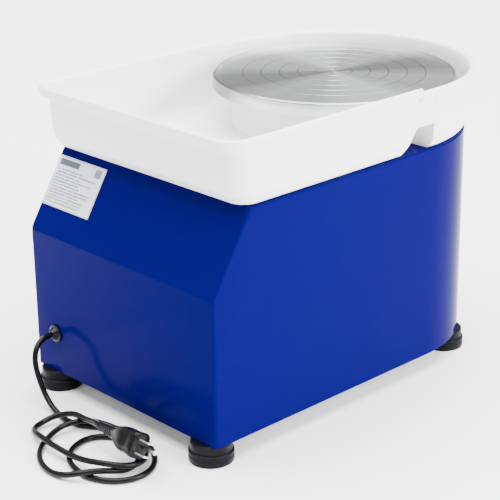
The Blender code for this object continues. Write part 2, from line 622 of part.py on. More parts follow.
def build_electronics():
    """The speed controller on the base plate, behind the motor."""
    alloy = finish("turned_aluminium", (0.80, 0.81, 0.82), 0.30, 1.0)
    green = finish("circuit_board", (0.02, 0.16, 0.06), 0.45)
    sleeve = finish("capacitor_sleeve", (0.02, 0.03, 0.10), 0.35)
    left = REAR_X + 0.030
    right = MOTOR_X - MOTOR_RADIUS - 0.010
    floor = FLANGE_TOP + 0.004
    sink = block("controller_heatsink", (left, -0.045, floor - 0.0052 + GAP), (right, 0.045, floor + 0.012), alloy)
    for index in range(6):
        y = -0.036 + 0.0144 * index
        boolean(sink, block("fin_gap_%d" % index, (left - 0.01, y - 0.0030, floor + 0.004),
                            (right + 0.01, y + 0.0030, floor + 0.02)))
    board_bottom = floor + 0.012 + GAP
    block("controller_board", (left, -0.045, board_bottom), (right, 0.045, board_bottom + 0.0016), green)
    turned("main_capacitor", [(0.0, board_bottom + 0.0366), (0.0100, board_bottom + 0.0366),
                              (0.0110, board_bottom + 0.0356), (0.0110, board_bottom + 0.0016 + GAP),
                              (0.0, board_bottom + 0.0016 + GAP)], sleeve, ((left + right) / 2, 0.020, 0), steps=24)


# ---------------------------------------------------------------- controls
def rocker_outline(tilt):
    """Side view of a rocker about its pivot: (outwards, up) points turned by the tilt."""
    half = ROCKER_HEIGHT / 2
    flat = [(-0.0030, -half + 0.0008), (0.0032, -half), (0.0024, 0.0), (0.0032, half), (-0.0030, half - 0.0008)]
    turn = Matrix.Rotation(tilt, 2)
    return [tuple(turn @ Vector(point)) for point in flat]


def build_switch(name, x, z):
    """A rocker switch: a bezel with its body behind the panel, and the rocker in it."""
    black = finish("switch_black", (0.015, 0.015, 0.016), 0.35)
    wide = ROCKER_WIDTH / 2
    tall = ROCKER_HEIGHT / 2 + 0.0012
    frame = block(name + "_switch", (-wide - 0.0025, -0.0160, -tall - 0.0025), (wide + 0.0025, GAP, tall + 0.0025),
                  black, (x, PANEL_FACE_Y, z))
    boolean(frame, block(name + "_mouth", (-wide - 0.0005, -0.0080, -tall), (wide + 0.0005, 0.01, tall),
                         at=(x, PANEL_FACE_Y, z)))
    bezel = block(name + "_bezel", (-wide - 0.0045, GAP * 0.9, -tall - 0.0045), (wide + 0.0045, 0.0020, tall + 0.0045),
                  at=(x, PANEL_FACE_Y, z))
    boolean(bezel, block(name + "_bezel_mouth", (-wide - 0.0005, -0.01, -tall), (wide + 0.0005, 0.01, tall),
                         at=(x, PANEL_FACE_Y, z)))
    boolean(frame, bezel, "UNION")
    rocker = flat_plate(name + "_rocker", [rocker_outline(-ROCKER_TILT)], ROCKER_WIDTH, black,
                        Matrix(((0, 0, 1, 0), (1, 0, 0, 0), (0, 1, 0, 0), (0, 0, 0, 1))))
    rocker.location = (x, PANEL_FACE_Y - 0.0005, z)
    return block(name + "_cutout", (-wide - 0.0025 - GAP, -0.02, -tall - 0.0025 - GAP),
                 (wide + 0.0025 + GAP, 0.02, tall + 0.0025 + GAP), at=(x, PANEL_FACE_Y, z))


def build_controls():
    """Control panel with the display, the speed knob and the two rocker switches."""
    dark = finish("panel_black", (0.03, 0.03, 0.035), 0.40)
    glass = finish("display_window", (0.02, 0.03, 0.03), 0.12)
    black = finish("switch_black", (0.015, 0.015, 0.016), 0.35)
    steel = finish("bright_steel", (0.62, 0.63, 0.65), 0.28, 1.0)
    panel = block("control_panel", (-PANEL_LENGTH / 2, PANEL_INNER_Y, -PANEL_HEIGHT / 2),
                  (PANEL_LENGTH / 2, PANEL_FACE_Y, PANEL_HEIGHT / 2), dark, (PANEL_X, 0, PANEL_Z))
    power_x = PANEL_X + PANEL_LENGTH / 2 - 0.026
    turn_x = power_x - 0.032
    boolean(panel, build_switch("power", power_x, PANEL_Z))
    boolean(panel, build_switch("direction", turn_x, PANEL_Z))
    display_x = PANEL_X - 0.012
    block("display_window", (-0.0210, -0.0040, -0.0100), (0.0210, 0.0008, 0.0100), glass,
          (display_x, PANEL_FACE_Y, PANEL_Z))
    boolean(panel, block("display_cutout", (-0.0213, -0.02, -0.0103), (0.0213, 0.02, 0.0103),
                         at=(display_x, PANEL_FACE_Y, PANEL_Z)))
    knob_at = (PANEL_X - PANEL_LENGTH / 2 + 0.030, PANEL_FACE_Y, PANEL_Z)
    shaft = 0.0030
    boolean(panel, rod("knob_hole", shaft + RUNNING_GAP, (0, -0.02, 0), (0, 0.02, 0), sides=20, at=knob_at))
    front = 0.0006 + KNOB_HEIGHT
    turned("speed_knob", [(shaft + GAP, front - 0.0030), (0.0, front - 0.0030), (0.0, front),
                          (KNOB_RADIUS - 0.0022, front), (KNOB_RADIUS - 0.0008, front - 0.0012),
                          (KNOB_RADIUS, 0.0006), (shaft + GAP, 0.0006)], black, knob_at, steps=24, axis="Y", closed=True)
    rod("knob_shaft", shaft, (0, -0.0100, 0), (0, front - 0.0034, 0), steel, sides=20, at=knob_at)
    back = -PANEL_THICKNESS - GAP
    pot = rod("speed_pot", 0.0100, (0, back - 0.0120, 0), (0, back, 0), dark, sides=20, at=knob_at)
    boolean(pot, rod("pot_bore", shaft + RUNNING_GAP, (0, -0.0105, 0), (0, 0.01, 0), sides=20, at=knob_at))


def build_label():
    """The rating label on the sloping shoulder."""
    paper = finish("label_film", (0.80, 0.81, 0.80), 0.45)
    rise = DECK_TOP - SHOULDER_Z
    length = math.hypot(rise, SHOULDER_RUN)
    tilt = math.atan2(rise, SHOULDER_RUN)
    outer = HALF_WIDTH - LABEL_MARGIN
    label = block("rating_label", (length - 0.0100 - LABEL_HEIGHT, outer - LABEL_WIDTH, GAP),
                  (length - 0.0100, outer, GAP + 0.0003), paper, (REAR_X, 0.0, SHOULDER_Z))
    label.rotation_euler = (0.0, -tilt, 0.0)


# ---------------------------------------------------------------- mains lead
# Hand-chosen points of the lead, from the strain relief to the plug: out and down to the floor,
# then three loose loops that lie on each other, each crossing a low hump.
CORD_ROUTE = [
    (-0.2223, 0.1018, 0.0636), (-0.2270, 0.1018, 0.0635), (-0.2352, 0.1012, 0.0614), (-0.2428, 0.0990, 0.0553),
    (-0.2474, 0.0955, 0.0455), (-0.2490, 0.0905, 0.0340), (-0.2493, 0.0843, 0.0228), (-0.2498, 0.0762, 0.0130),
    (-0.2510, 0.0650, 0.0060),
    (-0.2530, 0.0510, 0.0032), (-0.2545, 0.0380, 0.0031), (-0.2520, 0.0240, 0.0031), (-0.2430, 0.0080, 0.0031),
    (-0.2320, -0.0070, 0.0031), (-0.2260, -0.0260, 0.0031), (-0.2280, -0.0480, 0.0031), (-0.2360, -0.0690, 0.0031),
    (-0.2490, -0.0870, 0.0031), (-0.2660, -0.0970, 0.0031), (-0.2850, -0.0960, 0.0031), (-0.3010, -0.0840, 0.0031),
    (-0.3090, -0.0640, 0.0031), (-0.3080, -0.0430, 0.0031), (-0.2980, -0.0220, 0.0031), (-0.2810, -0.0095, 0.0031),
    (-0.2630, -0.0070, 0.0031), (-0.2490, -0.0150, 0.0031), (-0.2425, -0.0300, 0.0031), (-0.2425, -0.0470, 0.0031),
    (-0.2490, -0.0640, 0.0031), (-0.2620, -0.0765, 0.0031), (-0.2790, -0.0800, 0.0040), (-0.2960, -0.0750, 0.0078),
    (-0.3110, -0.0670, 0.0094), (-0.3230, -0.0550, 0.0065), (-0.3280, -0.0360, 0.0033), (-0.3240, -0.0140, 0.0031),
    (-0.3110, 0.0060, 0.0031), (-0.2920, 0.0200, 0.0036), (-0.2700, 0.0240, 0.0075), (-0.2520, 0.0160, 0.0094),
    (-0.2420, 0.0010, 0.0094), (-0.2390, -0.0180, 0.0094), (-0.2395, -0.0370, 0.0094), (-0.2430, -0.0560, 0.0094),
    (-0.2485, -0.0735, 0.0094), (-0.2595, -0.0850, 0.0096), (-0.2735, -0.0885, 0.0108), (-0.2875, -0.0835, 0.0135),
    (-0.2970, -0.0710, 0.0146), (-0.3010, -0.0540, 0.0120), (-0.3020, -0.0360, 0.0096), (-0.3025, -0.0170, 0.0094),
    (-0.3015, 0.0060, 0.0094), (-0.2995, 0.0220, 0.0090), (-0.2952, 0.0360, 0.0064), (-0.2875, 0.0448, 0.0048),
    (-0.2768, 0.0480, 0.0052), (-0.2662, 0.0452, 0.0082), (-0.2584, 0.0370, 0.0114), (-0.2550, 0.0250, 0.0146),
    (-0.2556, 0.0090, 0.0162),
    (-0.2590, -0.0100, 0.0205),
]
PLUG_TAIL = (-0.2630, -0.0255, 0.0238)
PLUG_PITCH = math.radians(-4.5)
PLUG_ROLL = math.radians(-60.0)
PLUG_YAW = math.radians(-5.0)


def smooth_path(route, spacing):
    """Evenly spaced points on the natural cubic curve through a route."""
    points = np.array(route)
    steps = np.linalg.norm(np.diff(points, axis=0), axis=1)
    knots = np.concatenate(([0.0], np.cumsum(steps)))
    count = len(points)
    system = np.zeros((count, count))
    system[0, 0] = 1.0
    system[-1, -1] = 1.0
    right = np.zeros((count, 3))
    for i in range(1, count - 1):
        before, after = steps[i - 1], steps[i]
        system[i, i - 1:i + 2] = (before, 2 * (before + after), after)
        right[i] = 6 * ((points[i + 1] - points[i]) / after - (points[i] - points[i - 1]) / before)
    bend = np.linalg.solve(system, right)
    path = []
    for along in np.linspace(0.0, knots[-1], int(knots[-1] / spacing) + 1):
        i = min(int(np.searchsorted(knots, along, side="right")) - 1, count - 2)
        a, b, step = knots[i + 1] - along, along - knots[i], steps[i]
        spot = (bend[i] * a ** 3 + bend[i + 1] * b ** 3) / (6 * step)
        spot = spot + (points[i] / step - bend[i] * step / 6) * a + (points[i + 1] / step - bend[i + 1] * step / 6) * b
        path.append(tuple(float(value) for value in spot))
    return path


def plug_ring(along, half_width, half_height, roundness):
    """One rounded section of the plug body, across the plug's length."""
    ring = []
    for step in range(20):
        angle = 2 * math.pi * step / 20
        c, s = math.cos(angle), math.sin(angle)
        x = half_width * math.copysign(abs(c) ** roundness, c)
        z = half_height * math.copysign(abs(s) ** roundness, s)
        ring.append((x, -along, z))
    return ring


def build_cord():
    """The strain relief, the mains lead and its plug."""
    black = finish("cord_black", (0.015, 0.015, 0.016), 0.50)
    brass = finish("nickel_pin", (0.70, 0.68, 0.62), 0.25, 1.0)
    end = CORD_DIAMETER / 2 + 0.0012
    turned("cord_gland", [(0.0, GLAND_INSIDE), (GLAND_NECK, GLAND_INSIDE), (GLAND_NECK, -GAP), (0.0090, -GAP),
                          (0.0090, -0.0020), (0.0066, -0.0026), (end, -GLAND_LENGTH), (0.0, -GLAND_LENGTH)],
           black, (REAR_X, GLAND_Y, GLAND_Z), steps=16, axis="X")
    plug_turn = Euler((PLUG_PITCH, PLUG_ROLL, PLUG_YAW), "YXZ")
    plug_axis = plug_turn.to_matrix() @ Vector((0.0, -1.0, 0.0))
    stub = CORD_DIAMETER / 2
    tail = Vector(PLUG_TAIL)
    exit_end = (REAR_X - GLAND_LENGTH - GAP, GLAND_Y, GLAND_Z)
    route = [(exit_end[0] - stub, GLAND_Y, GLAND_Z)] + CORD_ROUTE[1:] + [tuple(tail - (GAP + stub) * plug_axis)]
    curve = bpy.data.curves.new("power_cord", "CURVE")
    curve.dimensions = "3D"
    curve.bevel_depth = CORD_DIAMETER / 2
    curve.bevel_resolution = 2
    curve.use_fill_caps = True
    path = [exit_end] + smooth_path(route, 2.7 * CORD_DIAMETER) + [tuple(tail - GAP * plug_axis)]
    spline = curve.splines.new("POLY")
    spline.points.add(len(path) - 1)
    for point, spot in zip(spline.points, path):
        point.co = (*spot, 1.0)
    place("power_cord", curve, black)
    rings = [plug_ring(0.0, end, end, 1.0), plug_ring(0.0280, 0.0062, 0.0056, 0.9),
             plug_ring(0.0340, 0.0090, 0.0075, 0.7), plug_ring(0.0440, 0.0122, 0.0094, 0.5),
             plug_ring(PLUG_LENGTH - 0.0015, 0.0125, 0.0100, 0.5), plug_ring(PLUG_LENGTH, 0.0118, 0.0092, 0.5)]
    body = loft("plug_body", rings, black)
    blades = []
    for index, x in ((1, -0.00635), (2, 0.00635)):
        blades.append(block("plug_blade_%d" % index, (x - 0.00075, -PLUG_LENGTH - 0.0165, -0.0005),
                            (x + 0.00075, -PLUG_LENGTH - GAP, 0.0058), brass))
    blades.append(rod("plug_ground_pin", 0.0024, (0, -PLUG_LENGTH - GAP, -0.0045), (0, -PLUG_LENGTH - 0.0185, -0.0045),
                      brass, sides=16))
    for piece in [body] + blades:
        piece.location = PLUG_TAIL
        piece.rotation_mode = "YXZ"
        piece.rotation_euler = plug_turn


def main():
    """Build every piece."""
    clear_scene()
    build_housing()
    build_feet()
    build_basin()
    build_wheel()
    build_drive()
    build_electronics()
    build_controls()
    build_label()
    build_cord()


main()
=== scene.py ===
"""Tabletop pottery wheel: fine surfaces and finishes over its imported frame."""
import json
import logging
import math
from dataclasses import dataclass, field
from enum import Enum
from typing import Dict, List, Optional, Sequence, Tuple, Union

import bmesh
import bpy
import numpy as np
from mathutils import Euler, Matrix, Vector


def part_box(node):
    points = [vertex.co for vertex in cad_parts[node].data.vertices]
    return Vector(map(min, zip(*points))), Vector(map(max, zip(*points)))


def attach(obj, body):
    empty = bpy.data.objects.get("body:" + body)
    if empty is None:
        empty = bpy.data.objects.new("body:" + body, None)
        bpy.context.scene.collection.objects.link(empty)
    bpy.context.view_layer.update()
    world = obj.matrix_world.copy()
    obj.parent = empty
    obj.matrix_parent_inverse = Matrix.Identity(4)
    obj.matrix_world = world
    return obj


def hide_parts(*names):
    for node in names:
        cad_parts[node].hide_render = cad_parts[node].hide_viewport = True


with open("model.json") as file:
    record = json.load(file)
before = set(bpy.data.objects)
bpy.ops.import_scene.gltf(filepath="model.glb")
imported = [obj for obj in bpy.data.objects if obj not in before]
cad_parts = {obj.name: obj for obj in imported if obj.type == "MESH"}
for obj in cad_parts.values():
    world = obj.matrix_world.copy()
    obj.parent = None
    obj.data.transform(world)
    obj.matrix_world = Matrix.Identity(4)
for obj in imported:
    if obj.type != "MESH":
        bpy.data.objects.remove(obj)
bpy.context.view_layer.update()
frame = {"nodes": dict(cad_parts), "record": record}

LOG = logging.getLogger("pottery_wheel")
Point = Tuple[float, float, float]
Row = Tuple[float, float, float, float]
Colour = Tuple[float, float, float]
GAP = 0.0003
AXIS_X = sum(corner.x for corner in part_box("wheel_head")) / 2
REAR_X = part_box("housing_shell")[0].x
DECK_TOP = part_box("housing_shell")[1].z
HALF_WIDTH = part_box("housing_shell")[1].y
HEAD_RINGS = (0.01875, 0.0375, 0.05625, 0.0750, 0.0940)
HEAD_EDGE_LINE = 0.1222


class Cut(Enum):
    """How one closed shape changes another."""

    AWAY = "DIFFERENCE"
    JOIN = "UNION"
    SHARE = "INTERSECT"


# ---------------------------------------------------------------- shading
class Wire:
    """A value socket that turns ordinary arithmetic into Math nodes."""

    def __init__(self, graph: "Graph", socket: bpy.types.NodeSocket) -> None:
        """Keep the socket and the graph it belongs to."""
        self.graph = graph
        self.socket = socket

    def _math(self, operation: str, first: object, second: object) -> "Wire":
        """Add one Math node.

        Args:
            operation: The Math node's operation.
            first: Its first value or wire.
            second: Its second value or wire.

        Returns:
            The node's result.
        """
        return self.graph.add("ShaderNodeMath", {"operation": operation}, {0: first, 1: second})

    def __add__(self, other: object) -> "Wire":
        """Sum."""
        return self._math("ADD", self, other)

    __radd__ = __add__

    def __sub__(self, other: object) -> "Wire":
        """Difference."""
        return self._math("SUBTRACT", self, other)

    def __rsub__(self, other: object) -> "Wire":
        """Reflected difference."""
        return self._math("SUBTRACT", other, self)

    def __mul__(self, other: object) -> "Wire":
        """Product."""
        return self._math("MULTIPLY", self, other)

    __rmul__ = __mul__

    def __truediv__(self, other: object) -> "Wire":
        """Quotient."""
        return self._math("DIVIDE", self, other)

    def __lt__(self, other: object) -> "Wire":
        """1 where this is less."""
        return self._math("LESS_THAN", self, other)

    def __gt__(self, other: object) -> "Wire":
        """1 where this is greater."""
        return self._math("GREATER_THAN", self, other)


class Graph:
    """The node tree of one finish, round its Principled shader."""

    def __init__(self, name: str) -> None:
        """Make the material and find its shader."""
        self.material = bpy.data.materials.new(name)
        self.material.use_nodes = True
        self.tree = self.material.node_tree
        self.shader = next(node for node in self.tree.nodes if node.type == "BSDF_PRINCIPLED")

    def add(self, kind: str, settings: Optional[Dict[str, object]] = None,
            sockets: Optional[Dict[Union[str, int], object]] = None, output: Union[str, int] = 0) -> Wire:
        """Add any node.

        Args:
            kind: The node's type.
            settings: Its settings, set first.
            sockets: Values or wires for its inputs.
            output: The output to return.

        Returns:
            The chosen output.
        """
        node = self.tree.nodes.new(kind)
        for key, value in (settings or {}).items():
            setattr(node, key, value)
        for key, value in (sockets or {}).items():
            self.feed(node.inputs[key], value)
        return Wire(self, node.outputs[output])

    def feed(self, socket: bpy.types.NodeSocket, value: object) -> None:
        """Link a wire to an input, or set its value."""
        if isinstance(value, Wire):
            self.tree.links.new(value.socket, socket)
        else:
            socket.default_value = value

    def put(self, name: str, value: object) -> None:
        """Feed one of the shader's own inputs by name."""
        self.feed(self.shader.inputs[name], value)

    def place(self) -> Wire:
        """The point on the surface, in the machine's own frame."""
        return self.add("ShaderNodeTexCoord", output="Object")

    def axes(self) -> Tuple[Wire, Wire, Wire]:
        """The point's X, Y and Z as three wires."""
        split = self.add("ShaderNodeSeparateXYZ", None, {0: self.place()})
        outputs = split.socket.node.outputs
        return Wire(self, outputs[0]), Wire(self, outputs[1]), Wire(self, outputs[2])

    def noise(self, scale: float, detail: float = 3.0, vector: Optional[Wire] = None) -> Wire:
        """A noise value from 0 to 1.

        Args:
            scale: Waves per metre.
            detail: Octaves.
            vector: Where to read it, or None for the surface point.

        Returns:
            The noise.
        """
        return self.add("ShaderNodeTexNoise", None,
                        {"Vector": vector or self.place(), "Scale": scale, "Detail": detail}, "Fac")

    def tint(self, mask: Wire, low: Union[Colour, Wire], high: Union[Colour, Wire]) -> Wire:
        """Mix two colours by a mask.

        Args:
            mask: 0 for the first colour and 1 for the second.
            low: First colour.
            high: Second colour.

        Returns:
            The mixed colour.
        """
        first = low if isinstance(low, Wire) else (*low, 1.0)
        second = high if isinstance(high, Wire) else (*high, 1.0)
        return self.add("ShaderNodeMix", {"data_type": "RGBA"}, {0: mask, 6: first, 7: second}, 2)

    def relief(self, height: Wire, depth: float, strength: float = 1.0) -> None:
        """Raise the surface by a height from 0 to 1, over a depth in metres."""
        self.put("Normal", self.add("ShaderNodeBump", None,
                                    {"Height": height, "Distance": depth, "Strength": strength}))


@dataclass(frozen=True)
class Finish:
    """A finish with a soft mottle, a wandering gloss and a fine relief."""

    name: str
    colour: Colour
    roughness: float
    metallic: float = 0.0
    mottle: float = 0.05
    mottle_scale: float = 22.0
    wander: float = 0.05
    grain_scale: float = 1400.0
    grain_depth: float = 0.00006
    coat: float = 0.0
    specular: float = 0.5

    def pattern(self, graph: Graph) -> Tuple[Wire, Wire, Wire]:
        """Work out colour, roughness and height over the surface.

        Args:
            graph: The graph to build in.

        Returns:
            The colour, the roughness and the height.
        """
        broad = graph.noise(self.mottle_scale, 4.0)
        fine = graph.noise(self.grain_scale, 2.0)
        dark = tuple(channel * (1.0 - self.mottle) for channel in self.colour)
        light = tuple(min(1.0, channel * (1.0 + self.mottle)) for channel in self.colour)
        gloss = (broad - 0.5) * (2.0 * self.wander) + self.roughness
        return graph.tint(broad, dark, light), gloss, fine

    def material(self) -> bpy.types.Material:
        """Build the material."""
        graph = Graph(self.name)
        colour, gloss, height = self.pattern(graph)
        graph.put("Base Color", colour)
        graph.put("Roughness", gloss)
        graph.put("Metallic", self.metallic)
        graph.put("Coat Weight", self.coat)
        graph.put("Coat Roughness", 0.06)
        graph.put("Specular IOR Level", self.specular)
        graph.relief(height, self.grain_depth)
        return graph.material


@dataclass(frozen=True)
class Enamel(Finish):
    """Glossy stoved paint with the gentle waves of sprayed sheet and a little dust."""

    peel_scale: float = 230.0

    def pattern(self, graph: Graph) -> Tuple[Wire, Wire, Wire]:
        """Colour with settled dust, gloss with faint smears, and orange peel."""
        broad = graph.noise(9.0, 3.0)
        specks = graph.noise(1900.0, 2.0) > 0.735
        smear = graph.noise(34.0, 5.0)
        dark = tuple(channel * 0.95 for channel in self.colour)
        light = tuple(min(1.0, channel * 1.05) for channel in self.colour)
        dust = tuple(channel * 0.7 + 0.05 for channel in self.colour)
        colour = graph.tint(specks * 0.35, graph.tint(broad, dark, light), dust)
        gloss = (smear - 0.5) * 0.10 + self.roughness + specks * 0.15
        return colour, gloss, graph.noise(self.peel_scale, 2.0)


@dataclass(frozen=True)
class Turned(Finish):
    """Metal faced on a lathe: fine rings, light and dark wedges of painted sheen, and near-black circles of
    painted shade over its engraved grooves.
    """

    centre: Tuple[float, float] = (0.0, 0.0)
    pitch: float = 0.00045
    # How strongly the painted sheen wedges lighten and darken the metal, and which way they face.
    sheen_fans: float = 0.30
    sheen_facing: float = 0.0
    # Radii of the grooves that get painted shade, and the half-width of each dark circle.
    groove_shade_radii: Tuple[float, ...] = ()
    line: float = 0.00042

    def pattern(self, graph: Graph) -> Tuple[Wire, Wire, Wire]:
        """Rings of uneven cut, wedges of painted sheen that widen from the middle, and thin dark circles of
        painted shade over the grooves.
        """
        x, y, _ = graph.axes()
        over_x = x - self.centre[0]
        over_y = y - self.centre[1]
        radius = graph.add("ShaderNodeMath", {"operation": "SQRT"}, {0: over_x * over_x + over_y * over_y})
        angle = graph.add("ShaderNodeMath", {"operation": "ARCTAN2"}, {0: over_y, 1: over_x})
        spot = graph.add("ShaderNodeCombineXYZ", None, {0: radius, 1: 0.0, 2: 0.0})
        rings = graph.noise(1.0 / self.pitch, 2.0, spot)
        bands = graph.noise(120.0, 2.0, spot)
        swing = graph.add("ShaderNodeMath", {"operation": "SINE"}, {0: angle * 2.0 + self.sheen_facing})
        narrow = graph.add("ShaderNodeMath", {"operation": "SINE"}, {0: angle * 6.0 + self.sheen_facing * 3.0})
        fine = graph.add("ShaderNodeMath", {"operation": "SINE"}, {0: angle * 22.0 + bands * 9.0})
        # Painted sheen: wedges lighter and darker by angle round the centre stand in for the turned metal's
        # reflection.
        painted_sheen = swing * 0.44 - narrow * 0.18 + fine * 0.03 + 0.5
        level = graph.add("ShaderNodeClamp", None, {0: painted_sheen + (rings - 0.5) * 0.16 + (bands - 0.5) * 0.14})
        dark = tuple(channel * (1.0 - self.sheen_fans) for channel in self.colour)
        light = tuple(min(1.0, channel * (1.0 + self.sheen_fans)) for channel in self.colour)
        # Painted shade: near-black circles at the groove radii stand in for the shade inside the grooves.
        mark = sum((radius > ring - self.line) * (radius < ring + self.line) for ring in self.groove_shade_radii)
        shade = graph.tint(mark * 0.8, graph.tint(level, dark, light), tuple(c * 0.12 for c in self.colour))
        return shade, self.roughness + (rings - 0.5) * 0.10, rings


@dataclass(frozen=True)
class Brushed(Finish):
    """Plated or ground metal with a directional scratch along one axis."""

    along: Point = (30.0, 900.0, 900.0)

    def pattern(self, graph: Graph) -> Tuple[Wire, Wire, Wire]:
        """Scratches drawn out along the grain over a cloudy plate."""
        spot = graph.add("ShaderNodeVectorMath", {"operation": "MULTIPLY"}, {0: graph.place(), 1: self.along})
        scratch = graph.noise(1.0, 3.0, spot)
        cloud = graph.noise(28.0, 4.0)
        dark = tuple(channel * (1.0 - self.mottle * 1.6) for channel in self.colour)
        light = tuple(min(1.0, channel * (1.0 + self.mottle)) for channel in self.colour)
        gloss = self.roughness + (scratch - 0.5) * 0.18 + (cloud - 0.5) * 0.12
        return graph.tint(scratch * 0.6 + cloud * 0.4, dark, light), gloss, scratch


@dataclass(frozen=True)
class LabelFilm(Finish):
    """A printed label with plain grey bars where its wording would be."""

    foot: Tuple[float, float] = (0.0, 0.0)
    slope: float = 1.0
    span: Tuple[float, float] = (0.0277, 0.0797)
    across: Tuple[float, float] = (0.0600, 0.1330)
    ink: Colour = (0.045, 0.055, 0.075)

    def pattern(self, graph: Graph) -> Tuple[Wire, Wire, Wire]:
        """Rows of bars of uneven length, a heading bar and a frame line."""
        x, y, z = graph.axes()
        up = (x - self.foot[0]) * math.cos(self.slope) + (z - self.foot[1]) * math.sin(self.slope)
        rise = (up - self.span[0]) / (self.span[1] - self.span[0])
        run = 1.0 - (y - self.across[0]) / (self.across[1] - self.across[0])
        row = graph.add("ShaderNodeMath", {"operation": "FLOOR"}, {0: rise * 17.0})
        inside = graph.add("ShaderNodeMath", {"operation": "FRACT"}, {0: rise * 17.0})
        wild = graph.add("ShaderNodeMath", {"operation": "SINE"}, {0: row * 12.9898 + 4.0})
        uneven = graph.add("ShaderNodeMath", {"operation": "FRACT"}, {0: wild * 4375.85})
        letters = graph.noise(900.0, 1.0) > 0.40
        text = (inside > 0.30) * (inside < 0.78) * (run > 0.05) * (run < uneven * 0.42 + 0.50)
        text = text * (rise > 0.07) * (rise < 0.77) * letters
        heading = (rise > 0.82) * (rise < 0.94) * (run > 0.05) * (run < 0.46)
        box = (run > 0.80) * (run < 0.93) * (rise > 0.78) * (rise < 0.94)
        edge = 1.0 - (rise > 0.03) * (rise < 0.97) * (run > 0.02) * (run < 0.98)
        mark = graph.add("ShaderNodeClamp", None, {0: text * 0.80 + heading * 0.95 + box * 0.75 + edge * 0.3})
        paper = graph.tint(graph.noise(60.0, 3.0), tuple(c * 0.95 for c in self.colour), self.colour)
        return graph.tint(mark, paper, self.ink), self.roughness + mark * 0.06, graph.noise(2200.0, 2.0)


@dataclass(frozen=True)
class DialPanel(Finish):
    """The control plate, with tick marks round the knob and a fine frame line."""

    knob: Tuple[float, float] = (-0.105, 0.178)
    middle: Tuple[float, float] = (-0.050, 0.178)
    half: Tuple[float, float] = (0.085, 0.031)
    ink: Colour = (0.62, 0.64, 0.66)

    def pattern(self, graph: Graph) -> Tuple[Wire, Wire, Wire]:
        """Ticks by angle in a ring, and a line set in from the plate's edge."""
        x, _, z = graph.axes()
        over_x = x - self.knob[0]
        over_z = z - self.knob[1]
        radius = graph.add("ShaderNodeMath", {"operation": "SQRT"}, {0: over_x * over_x + over_z * over_z})
        angle = graph.add("ShaderNodeMath", {"operation": "ARCTAN2"}, {0: over_x, 1: over_z})
        beat = graph.add("ShaderNodeMath", {"operation": "COSINE"}, {0: angle * 24.0})
        away = graph.add("ShaderNodeMath", {"operation": "ABSOLUTE"}, {0: angle})
        ticks = (beat > 0.80) * (radius > 0.0175) * (radius < 0.0212) * (away < 2.4)
        side = graph.add("ShaderNodeMath", {"operation": "ABSOLUTE"}, {0: x - self.middle[0]})
        high = graph.add("ShaderNodeMath", {"operation": "ABSOLUTE"}, {0: z - self.middle[1]})
        outer = (side < self.half[0] - 0.0024) * (high < self.half[1] - 0.0024)
        inner = (side < self.half[0] - 0.0030) * (high < self.half[1] - 0.0030)
        mark = graph.add("ShaderNodeClamp", None, {0: ticks + outer - inner})
        base = graph.tint(graph.noise(40.0, 3.0), tuple(c * 0.85 for c in self.colour), self.colour)
        return graph.tint(mark, base, self.ink), self.roughness - mark * 0.05, graph.noise(1600.0, 2.0)


@dataclass(frozen=True)
class KnobFinish(Finish):
    """Moulded knob with a painted pointer line."""

    centre: Tuple[float, float] = (-0.105, 0.178)

    def pattern(self, graph: Graph) -> Tuple[Wire, Wire, Wire]:
        """A white line from the middle to the rim of the face."""
        x, _, z = graph.axes()
        side = graph.add("ShaderNodeMath", {"operation": "ABSOLUTE"}, {0: x - self.centre[0]})
        up = z - self.centre[1]
        line = (side < 0.0007) * (up > 0.0050) * (up < 0.0142)
        base = graph.tint(graph.noise(60.0, 3.0), tuple(c * 0.8 for c in self.colour), self.colour)
        gloss = self.roughness + line * 0.1
        return graph.tint(line, base, (0.78, 0.78, 0.76)), gloss, graph.noise(1500.0, 2.0)


